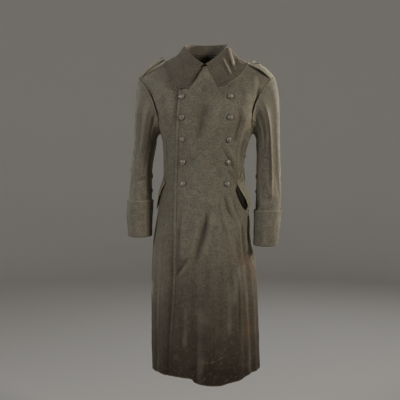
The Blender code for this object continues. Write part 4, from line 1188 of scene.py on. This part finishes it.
def wool_layers(tree, clouds, worn, dull):
    """Layers of colour: the value that each follows, where it starts and is full, its shade and strength."""
    place = add_node(tree, "ShaderNodeTexCoord").outputs["Object"]
    height = add_node(tree, "ShaderNodeSeparateXYZ", {"Vector": place}).outputs["Z"]
    relief = add_node(tree, "ShaderNodeAttribute", {"attribute_name": "relief"}).outputs["Fac"]
    wear = add_node(tree, "ShaderNodeAttribute", {"attribute_name": "wear"}).outputs["Fac"]
    layers = [
        (clouds["fading"], 0.38, 0.66, dull, 0.40),
        (clouds["soil"], 0.44, 0.64, "#5B5046", 0.34),
        (clouds["mottling"], 0.44, 0.64, worn, 0.24),
        (clouds["matting"], 0.46, 0.60, dull, 0.62),
        (clouds["fibres"], 0.47, 0.60, worn, 0.62),
    ]

    # Darkening that grows towards the hem, a little unevenly: partly ground-in grime and partly painted
    # shade, as less light reaches the lower coat
    hem_grime_and_shade = {"operation": "MULTIPLY_ADD", 0: clouds["soil"], 1: 0.30, 2: height}
    layers.append((add_node(tree, "ShaderNodeMath", hem_grime_and_shade), -0.48, -1.02, "#291F18", 0.94))

    # Stains, and patches of painted light and shade, where they lie on the coat, with broken outlines
    for mark in STAINS_AND_PAINTED_LIGHT:
        middle, radii = ([mark[key] for key in keys] for keys in (("x", "y", "z"), ("rx", "ry", "rz")))
        spot = {"vector_type": "TEXTURE", "Location": middle, "Scale": radii, "Vector": place}
        near = add_node(tree, "ShaderNodeMapping", spot)
        away = add_node(tree, "ShaderNodeVectorMath", {"operation": "LENGTH", 0: near}).outputs["Value"]
        settings = {"operation": "MULTIPLY_ADD", 0: clouds["ragged"], 1: 2.4, 2: away}
        ragged = add_node(tree, "ShaderNodeMath", settings)
        layers.append((ragged, 2.3, 1.1, mark["colour"], mark["strength"]))

    # Pale scratches about 2.5 mm wide and 15 mm long that cross low on the skirt, more to the hem
    for turn, size in ((1.15, 1.0), (-0.65, 0.8), (0.30, 1.1)):
        stroke = (0.0050 * size, 0.010, 0.021 * size)
        slant = {"vector_type": "TEXTURE", "Rotation": (0, turn, 0), "Scale": stroke, "Vector": place}
        slanted = add_node(tree, "ShaderNodeMapping", slant)
        strokes = {"Scale": 1, "Detail": 2, "Distortion": 0.5, "Vector": slanted}
        lines = add_node(tree, "ShaderNodeTexNoise", strokes).outputs["Fac"]
        scratched = {"operation": "MULTIPLY_ADD", 0: height, 1: -0.07, 2: lines}
        layers.append((add_node(tree, "ShaderNodeMath", scratched), 0.700, 0.845, "#7A7266", 0.42))

    # Ridges turn paler, partly rubbed and partly painted highlight, and turned edges rub paler; hollows get
    # painted shade, and the pocket mouth is painted dark inside as shade
    return layers + [
        (relief, -0.0004, -0.0080, "#332B24", 0.55),
        # The deepest troughs, chiefly the pocket mouth, are painted near-black: painted shade, as the mouth
        # is a trough and not an opening
        (relief, -0.0085, -0.0115, "#17130F", 0.90),
        (relief, 0.0008, 0.0070, worn, 0.60),
        # Rubbed edges, and a painted highlight on the collar's ridges, which comes in with the wear values
        (wear, 0.10, 1.0, "#A39880", 0.78),
    ]


def wool_cloth(name, ground, worn, dull):
    """Felted wool overcoating: a dull twill under a short milled nap, so it shows soft, mottled and dusty,
    with painted light and shade among its colour layers.
    """
    finish = {"Roughness": 0.95, "Specular IOR Level": 0.25, "Sheen Weight": 0.22, "Sheen Roughness": 0.55}
    material, tree, shader = begin_material(name, {**finish, "Sheen Tint": srgb("#B9AE9C")})
    place = add_node(tree, "ShaderNodeTexCoord").outputs["Object"]

    # Clouds that the layers follow, by patches to the metre: fading in patches of 110 mm, down to 1 mm nap
    clouds = {}
    for key, scale, detail, roughness in (
        ("fading", 9, 4, 0.6),
        ("mottling", 42, 4, 0.6),
        ("matting", 150, 5, 0.6),
        ("fibres", 400, 3, 0.6),
        ("soil", 6, 5, 0.65),
        ("ragged", 60, 6, 0.7),
        ("felting", 190, 4, 0.65),
        ("nap", 900, 3, 0.7),
    ):
        cloud = {"Scale": scale, "Detail": detail, "Roughness": roughness, "Vector": place}
        clouds[key] = add_node(tree, "ShaderNodeTexNoise", cloud).outputs["Fac"]

    colour = srgb(ground)
    for value, low, high, shade, strength in wool_layers(tree, clouds, worn, dull):
        reach = {"From Min": low, "From Max": high, "To Max": strength, "Value": value}
        mask = add_node(tree, "ShaderNodeMapRange", reach)
        mix = {"data_type": "RGBA", 0: mask, MIX_A: colour, MIX_B: srgb(shade)}
        colour = add_node(tree, "ShaderNodeMix", mix).outputs[MIXED]
    tree.links.new(colour, shader.inputs["Base Color"])

    # Twill ribs drawn 2.2 mm apart, coarser than the cloth's own 1 mm so that they show, under 1 mm nap
    thread = add_node(tree, "ShaderNodeUVMap", {"uv_map": "cloth"})
    twill = {"bands_direction": "DIAGONAL", "Scale": 90, "Distortion": 1.5, "Detail": 2, "Detail Scale": 1.5}
    ribs = add_node(tree, "ShaderNodeTexWave", {**twill, "Vector": thread}).outputs["Fac"]
    bump = {}
    for height, distance, strength in (
        (ribs, 0.0003, 0.35),
        (clouds["nap"], 0.0006, 0.50),
        (clouds["felting"], 0.0012, 0.60),
    ):
        raised = {"Distance": distance, "Strength": strength, "Height": height, **bump}
        bump = {"Normal": add_node(tree, "ShaderNodeBump", raised).outputs["Normal"]}
    tree.links.new(bump["Normal"], shader.inputs["Normal"])
    return material


def lining_cotton():
    """Grey-green cotton twill lining, a fine even diagonal that shows only inside."""
    material, tree, shader, _ = two_shades(
        "lining_cotton_twill", ("#5A5748", "#6B6755"), {"Scale": 20, "Detail": 4}, {"Roughness": 0.75}
    )
    thread = add_node(tree, "ShaderNodeUVMap", {"uv_map": "cloth"})
    twill = {"bands_direction": "DIAGONAL", "Scale": 140, "Distortion": 0.4, "Vector": thread}
    ribs = add_node(tree, "ShaderNodeTexWave", twill).outputs["Fac"]
    bump = add_node(tree, "ShaderNodeBump", {"Distance": 0.0002, "Strength": 0.4, "Height": ribs})
    tree.links.new(bump.outputs["Normal"], shader.inputs["Normal"])
    return material


def sewing_thread():
    """Waxed linen thread, paler than the wool and slightly smooth."""
    soiling = {"Scale": 60, "Detail": 3}
    return two_shades("linen_sewing_thread", ("#463F35", "#6E6556"), soiling, {"Roughness": 0.7})[0]


def pebbled_zinc():
    """Stamped zinc button with a dull painted coat, rubbed to bare grey metal on its high spots."""
    shades, grain = ("#5A574D", "#A9A596"), {"Scale": 320, "Detail": 5, "Roughness": 0.7}
    material, tree, shader, tarnish = two_shades("pebbled_zinc", shades, grain, {"Metallic": 0.6})
    rough = add_node(tree, "ShaderNodeMapRange", {"To Min": 0.46, "To Max": 0.30, "Value": tarnish})
    tree.links.new(rough.outputs["Result"], shader.inputs["Roughness"])
    return material


def plain_object(name, data):
    """An object of a mesh, a light or a camera, put in the scene."""
    obj = bpy.data.objects.new(name, data)
    bpy.context.scene.collection.objects.link(obj)
    return obj


def cloth_object(name, piece, flip, materials, thickness_side):
    """A piece of cloth from its grid of points, with its wall, soft turned edges and pattern places."""
    points = piece["points"]
    rows, columns = points.shape[:2]
    mesh = bpy.data.meshes.new(name)
    mesh.from_pydata(points.reshape(-1, 3).tolist(), [], faces_of(rows, columns, flip).tolist())
    ends = edge_distances(points)
    up_the_middle = ends["first_row"][:, columns // 2][:, None]
    flat = np.stack([ends["first_column"], np.repeat(up_the_middle, columns, 1)], -1)
    corners = np.empty(len(mesh.loops), np.int32)
    mesh.loops.foreach_get("vertex_index", corners)
    layer = mesh.uv_layers.new(name="cloth")
    layer.data.foreach_set("uv", flat.reshape(-1, 2)[corners].astype(np.float32).ravel())
    for key in ("relief", "wear"):
        attribute = mesh.attributes.new(key, "FLOAT", "POINT")
        attribute.data.foreach_set("value", piece[key].astype(np.float32).ravel())
    for material in materials:
        mesh.materials.append(material)
    mesh.shade_smooth()
    obj = plain_object(name, mesh)
    wall = obj.modifiers.new("wall", "SOLIDIFY")
    wall.thickness = CLOTH
    wall.offset = thickness_side
    wall.material_offset = len(materials) - 1
    round_edge = obj.modifiers.new("turned edge", "BEVEL")
    round_edge.width = 0.0011
    round_edge.segments = 2
    round_edge.limit_method = "ANGLE"
    round_edge.angle_limit = math.radians(60)
    return obj


def finish_piece(obj, slot, *nodes):
    """Puts the piece on the root body and hides the solids that it stands for; its slot is not used."""
    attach(obj, "root")
    if nodes:
        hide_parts(*nodes)
    return obj


def tree_with_inputs(name, sizes):
    """A geometry tree with named inputs; returns it, its group input and its group output."""
    tree = bpy.data.node_groups.new(name, "GeometryNodeTree")
    tree.interface.new_socket("Geometry", in_out="OUTPUT", socket_type="NodeSocketGeometry")
    for label, kind in {"Geometry": "Geometry", **sizes}.items():
        tree.interface.new_socket(label, in_out="INPUT", socket_type="NodeSocket" + kind)
    return tree, tree.nodes.new("NodeGroupInput").outputs, tree.nodes.new("NodeGroupOutput")


def end_tree(tree, result, geometry, material):
    """Ends a geometry tree: its instances are made real and given their material."""
    real = add_node(tree, "GeometryNodeRealizeInstances", {"Geometry": geometry})
    finished = add_node(tree, "GeometryNodeSetMaterial", {"Geometry": real, "Material": material})
    tree.links.new(finished.outputs["Geometry"], result.inputs["Geometry"])
    return tree


def plain_mesh(obj):
    """The mesh that an object's modifiers make of it; the object itself is removed."""
    bpy.context.view_layer.update()
    mesh = bpy.data.meshes.new_from_object(obj.evaluated_get(bpy.context.evaluated_depsgraph_get()))
    bpy.data.objects.remove(obj)
    return mesh


def made_by(obj, tree, values):
    """The plain mesh that a geometry tree makes of an object, which is then removed."""
    modifier = obj.modifiers.new(tree.name, "NODES")
    modifier.node_group = tree
    for item in tree.interface.items_tree:
        if item.in_out == "INPUT" and item.name in values:
            modifier[item.identifier] = values[item.name]
    return plain_mesh(obj)


def stitch_tree():
    """Stitches laid end to end along paths, each a slim bead turned to lie on the cloth."""
    sizes = {"Pitch": "Float", "Length": "Float", "Thickness": "Float", "Thread": "Material"}
    tree, given, result = tree_with_inputs("topstitching", sizes)
    path = add_node(tree, "GeometryNodeMeshToCurve", {"Mesh": given["Geometry"]})
    spacing = {"mode": "LENGTH", "Curve": path, "Length": given["Pitch"]}
    spaced = add_node(tree, "GeometryNodeResampleCurve", spacing)
    tangent = add_node(tree, "GeometryNodeInputTangent")
    named = {"data_type": "FLOAT_VECTOR", "Name": "outward"}
    outward = add_node(tree, "GeometryNodeInputNamedAttribute", named)
    along = add_node(tree, "FunctionNodeAlignRotationToVector", {"axis": "X", "Vector": tangent})
    turned = {"axis": "Z", "pivot_axis": "X", "Rotation": along, "Vector": outward}
    upright = add_node(tree, "FunctionNodeAlignRotationToVector", turned)
    bead = add_node(tree, "GeometryNodeMeshUVSphere", {"Segments": 6, "Rings": 4, "Radius": 0.5})
    slim = {"X": given["Length"], "Y": given["Thickness"], "Z": given["Thickness"]}
    size = add_node(tree, "ShaderNodeCombineXYZ", slim)
    places = {"Points": spaced, "Instance": bead, "Rotation": upright, "Scale": size}
    placed = add_node(tree, "GeometryNodeInstanceOnPoints", places)
    return end_tree(tree, result, placed, given["Thread"])


def pebble_tree():
    """Small raised grains spread evenly over a button's dome."""
    sizes = {"Grain": "Float", "Spacing": "Float", "Seed": "Int", "Metal": "Material"}
    tree, given, result = tree_with_inputs("pebbled dome", sizes)
    normal = add_node(tree, "GeometryNodeInputNormal")
    lean = add_node(tree, "ShaderNodeSeparateXYZ", {"Vector": normal}).outputs["Z"]
    on_top = add_node(tree, "FunctionNodeCompare", {"operation": "GREATER_THAN", "B": 0.35, "A": lean})
    spreading = {
        "distribute_method": "POISSON",
        "Density Max": 4000000.0,
        "Mesh": given["Geometry"],
        "Selection": on_top,
        "Distance Min": given["Spacing"],
        "Seed": given["Seed"],
    }
    spread = add_node(tree, "GeometryNodeDistributePointsOnFaces", spreading)
    grain = add_node(tree, "GeometryNodeMeshIcoSphere", {"Subdivisions": 2, "Radius": given["Grain"]})
    square = spread.outputs["Rotation"]
    places = {"Points": spread, "Instance": grain, "Rotation": square, "Scale": (1, 1, 0.55)}
    placed = add_node(tree, "GeometryNodeInstanceOnPoints", places)
    joined = add_node(tree, "GeometryNodeJoinGeometry", {"Geometry": given["Geometry"]})
    tree.links.new(placed.outputs["Instances"], joined.inputs["Geometry"])
    return end_tree(tree, result, joined, given["Metal"])


def at_distance(piece, key, distance, chosen=slice(None), lift=ON_CLOTH):
    """The line on a piece that keeps a distance from one of its edges, lifted a little, with normals."""
    points, out = piece["points"], piece["out"]
    if key.endswith("row"):
        points, out = points.transpose(1, 0, 2), out.transpose(1, 0, 2)
    if key.startswith("last"):
        points, out = points[:, ::-1], out[:, ::-1]
    line, normals = [], []
    for rows in zip(points[chosen], out[chosen], strict=True):
        reach = np.append(0, np.cumsum(np.linalg.norm(np.diff(rows[0], axis=0), axis=1)))
        place, direction = (
            np.array([np.interp(distance, reach, row[:, k]) for k in range(3)]) for row in rows
        )
        normals.append(unit(direction))
        line.append(place + normals[-1] * lift)
    return np.array(line), np.array(normals)


def paths_object(lines):
    """One mesh of open paths, each with its outward direction at every point."""
    points, edges, outward, first = [], [], [], 0
    for line, normals in lines:
        points += line.tolist()
        outward += normals.tolist()
        edges += [(first + i, first + i + 1) for i in range(len(line) - 1)]
        first += len(line)
    mesh = bpy.data.meshes.new("stitch_paths")
    mesh.from_pydata(points, edges, [])
    attribute = mesh.attributes.new("outward", "FLOAT_VECTOR", "POINT")
    attribute.data.foreach_set("vector", np.array(outward, np.float32).ravel())
    return plain_object("stitch_paths", mesh)


def turned(name, profile, steps):
    """The mesh of a solid turned round the vertical from its profile of radii and heights."""
    mesh = bpy.data.meshes.new(name)
    mesh.from_pydata([(r, 0, z) for r, z in profile], [(i, i + 1) for i in range(len(profile) - 1)], [])
    obj = plain_object(name, mesh)
    turn = obj.modifiers.new("turn", "SCREW")
    turn.steps = turn.render_steps = steps
    turn.use_merge_vertices = True
    turn.merge_threshold = 0.00001
    turn.use_smooth_shade = True
    return plain_mesh(obj)


def turned_button(radius):
    """A domed button on its shank, from the top of the dome down to the shank's foot."""
    dome = radius * DOME
    profile = [(radius * math.sin(a) * 0.97, dome * math.cos(a)) for a in np.linspace(0, math.pi / 2, 15)]
    profile += [(radius, -0.0001), (radius, -0.0007), (radius * 0.95, -0.0012), (radius * 0.40, -0.0012)]
    profile += [(radius * 0.30, -0.0016), (radius * 0.30, -SHANK), (0.0, -SHANK)]
    return plain_object("button_solid", turned("button_turning", profile, 40))


def set_button(name, mesh, surface, normal):
    """A copy of a button stood square on the cloth, with its place in its mesh."""
    placed = mesh.copy()
    turn = normal.to_track_quat("Z", "Y").to_matrix().to_4x4()
    placed.transform(Matrix.Translation(surface + normal * (LAID + SHANK)) @ turn)
    placed.shade_smooth()
    finish_piece(plain_object(name + "_pebbled", placed), "button_metal", name)


def on_front(panels, x, z):
    """The place on the coat's front behind x and z, and the outward direction there."""
    place, normal, _, _ = panels.ray_cast(Vector((x, -0.5, z)), Vector((0, 1, 0)))
    return place, normal


def front_line(panels, start, end):
    """A straight line on the coat's front between two places given by x and z, with its normals."""
    line, normals = [], []
    for t in np.linspace(0, 1, 14):
        place, normal = on_front(panels, *(a + (b - a) * t for a, b in zip(start, end, strict=True)))
        line.append(place + normal * ON_CLOTH)
        normals.append(normal)
    return np.array(line), np.array(normals)


def patch_lines(panels):
    """The sewn oblong that backs the top button, open at the front edge."""
    right, left, top, low = -0.069, -0.089, -0.140, -0.174
    corners = [(left, top), (right, top), (right, low), (left, low)]
    return [front_line(panels, corners[k], corners[k + 1]) for k in range(3)]


def buttonhole_lines(panels, row):
    """The worked edge of a buttonhole, from the button's shank in towards the body."""
    start, end = row["a_x"] - 0.004, row["a_x"] + 0.020
    heights = (row["z"] - 0.0011, row["z"] + 0.0011)
    return [front_line(panels, (start, z), (end, z)) for z in heights]


def stand_stage():
    """A plain pale floor, well below the coat, that sweeps up into a plain wall far off all round it."""
    bend = [(5.0 + 1.6 * math.sin(a), 1.6 * (1 - math.cos(a))) for a in np.linspace(0, math.pi / 2, 9)]
    profile = [(0.0, 0.0), (1.5, 0.0), (3.0, 0.0)] + bend + [(6.6, 5.5)]
    mesh = turned("studio_sweep", [(r, FLOOR_Z + z) for r, z in profile], 64)
    paper, _, _ = begin_material("matt_paper_sweep", {"Base Color": srgb("#C9C6C0"), "Roughness": 0.9})
    mesh.materials.append(paper)
    plain_object("studio_sweep", mesh)


def add_light(name, place, target, size, power, colour, spread=180):
    """A round lamp, its size in metres and its power in watts, turned to its target."""
    light = bpy.data.lights.new(name, "AREA")
    light.shape = "DISK"
    light.size = size
    light.energy = power
    light.color = srgb(colour)[:3]
    light.spread = math.radians(spread)
    obj = plain_object(name, light)
    obj.location = place
    obj.rotation_euler = (Vector(target) - Vector(place)).to_track_quat("-Z", "Y").to_euler()


def light_studio():
    """A lamp high on each side of the camera, the right one stronger, and three softer ones behind."""
    middle, arms = (0, 0, -0.50), (0.10, 0, -0.22)
    add_light("key", (3.2, -1.8, 1.3), middle, 0.9, 92, "#FFF9F1")
    add_light("fill", (-2.8, -2.5, 0.8), middle, 1.3, 64, "#F6F7FA")
    add_light("rim_left", (2.2, 1.6, 0.5), arms, 0.5, 4, "#FFF8F0", 30)
    add_light("rim_right", (-2.7, 0.9, 0.6), arms, 0.5, 1, "#F0F4FF", 30)
    add_light("back", (1.0, 3.2, 1.4), middle, 1.4, 22, "#F6F8FF")
    world = bpy.data.worlds.new("soft_room")
    world.use_nodes = True
    ambient = world.node_tree.nodes["Background"]
    ambient.inputs["Color"].default_value = srgb("#DDE0E4")
    ambient.inputs["Strength"].default_value = 0.17
    bpy.context.scene.world = world


def stand_camera():
    """The photograph's view: a little to the wearer's left side and a little above the coat's middle."""
    azimuth, elevation = math.radians(CAMERA_TURN), math.asin(CAMERA_RISE / CAMERA_DISTANCE)
    level = math.cos(elevation)
    back = Vector((math.sin(azimuth) * level, -math.cos(azimuth) * level, math.sin(elevation)))
    camera = bpy.data.cameras.new("camera")
    camera.sensor_width = 36
    camera.lens = camera.sensor_width / 2 / math.tan(math.radians(HALF_VIEW))
    obj = plain_object("camera", camera)
    obj.location = Vector(VIEW_MIDDLE) + back * CAMERA_DISTANCE
    obj.rotation_euler = (-back).to_track_quat("-Z", "Y").to_euler()
    bpy.context.scene.camera = obj


def side_name(side):
    """The side's name in the pieces' names."""
    return "left" if side > 0 else "right"


def coat_pieces(form, panels, body):
    """Every piece of cloth with whether its faces are flipped."""
    pieces = dict(body)
    for side in (1, -1):
        name = side_name(side)
        for part, piece in worn_sleeve(side, name).items():
            pieces[f"{part}_sleeve_{name}"] = (piece, side > 0)
        for part, piece in worn_cuff(side, name).items():
            pieces[f"{part}_cuff_{name}"] = (piece, side > 0)
        pieces["shoulder_strap_" + name] = (worn_strap(form, panels, side, STRAPS[name]), side < 0)
        pieces["pocket_flap_" + name] = (worn_flap(panels, FLAPS[name], side), side < 0)
    pieces["collar"] = (worn_collar(form, panels), True)
    return pieces


def dress_cloth(pieces):
    """Every piece of cloth made an object of its wool and lining, with the cut that it comes from."""
    wool = wool_cloth("felted_wool_twill", "#656257", "#8A8573", "#4A4840")
    collar_wool = wool_cloth("felted_wool_twill_collar", "#514C43", "#6E695B", "#403D36")
    trim = wool_cloth("field_grey_trim_wool", "#7B7B68", "#A0A088", "#5E5E52")
    lining = lining_cotton()
    for name, (piece, flip) in pieces.items():
        is_trim = name.startswith(("shoulder_strap", "pocket_flap"))
        own = trim if is_trim else collar_wool if name == "collar" else wool
        inside = own if is_trim else lining
        obj = cloth_object(name + "_cloth", piece, flip, (own, inside), 1 if is_trim else -1)
        finish_piece(obj, "trim_wool" if is_trim else "wool", name)


def sew_topstitching(pieces, panels):
    """Every row of stitches, joined in one piece."""
    edge = slice(0, LOWER_ROWS + EDGE_ROWS)
    lines = [at_distance(pieces["front_left"][0], "first_column", EDGE_STITCH, edge)]
    collar = pieces["collar"][0]
    fall = slice(collar["points"].shape[0] - FALL_ROWS + 1, -6)
    for key, chosen in (("first_column", fall), ("last_column", fall), ("last_row", slice(6, -6))):
        lines.append(at_distance(collar, key, COLLAR_STITCH, chosen))
    for name in ("left", "right"):
        for part in ("top", "under"):
            lines.append(at_distance(pieces[f"{part}_cuff_{name}"][0], "last_row", CUFF_STITCH))
        for part, keys in (
            ("shoulder_strap_", ("first_column", "last_column", "last_row")),
            ("pocket_flap_", ("first_row", "last_row", "last_column")),
        ):
            piece = pieces[part + name][0]
            lines += [at_distance(piece, key, TRIM_STITCH, slice(3, -3), CLOTH + ON_CLOTH) for key in keys]
    for row in BUTTONS:
        lines += buttonhole_lines(panels, row)
    lines += patch_lines(panels)
    stitch = {"Pitch": 0.0042, "Length": 0.0034, "Thickness": 0.0009, "Thread": sewing_thread()}
    sewn = made_by(paths_object(lines), stitch_tree(), stitch)
    finish_piece(plain_object("topstitching", sewn), "wool")


def fasten_buttons(pieces, panels):
    """The two columns of buttons down the front and the one on each shoulder strap."""
    grains, metal = pebble_tree(), pebbled_zinc()
    meshes = []
    for radius in (BUTTON_RADIUS, STRAP_BUTTON_RADIUS):
        sizes = {"Grain": radius * PEBBLE, "Spacing": radius * PEBBLE_SPACING, "Seed": 4, "Metal": metal}
        meshes.append(made_by(turned_button(radius), grains, sizes))
    coat_button, strap_button = meshes
    for row in BUTTONS:
        for column in "ab":
            place, normal = on_front(panels, row[column + "_x"], row["z"])
            set_button(f"button_{column}{row['row']}", coat_button, place, normal)
    for name in ("left", "right"):
        points = pieces["shoulder_strap_" + name][0]["points"]
        rows, columns = points.shape[:2]
        i, j = round(rows * STRAPS[name]["button"]), columns // 2
        across = Vector(points[i, j + 3] - points[i, j - 3])
        normal = across.cross(Vector(points[i + 3, j] - points[i - 3, j])).normalized()
        normal = normal if normal.z > 0 else -normal
        set_button("strap_button_" + name, strap_button, Vector(points[i, j]) + normal * CLOTH, normal)


def build_coat():
    """The whole coat: its cloth, its topstitching and its buttons."""
    body = {}
    for side in (1, -1):
        body["front_" + side_name(side)] = (worn_panel(side, False), side < 0)
        body["back_" + side_name(side)] = (worn_panel(side, True), side > 0)
    panels = grid_tree([piece["points"] for piece, _ in body.values()], [flip for _, flip in body.values()])
    pieces = coat_pieces(body_form(), panels, body)
    dress_cloth(pieces)
    sew_topstitching(pieces, panels)
    fasten_buttons(pieces, panels)


stand_camera()
build_coat()
stand_stage()
light_studio()
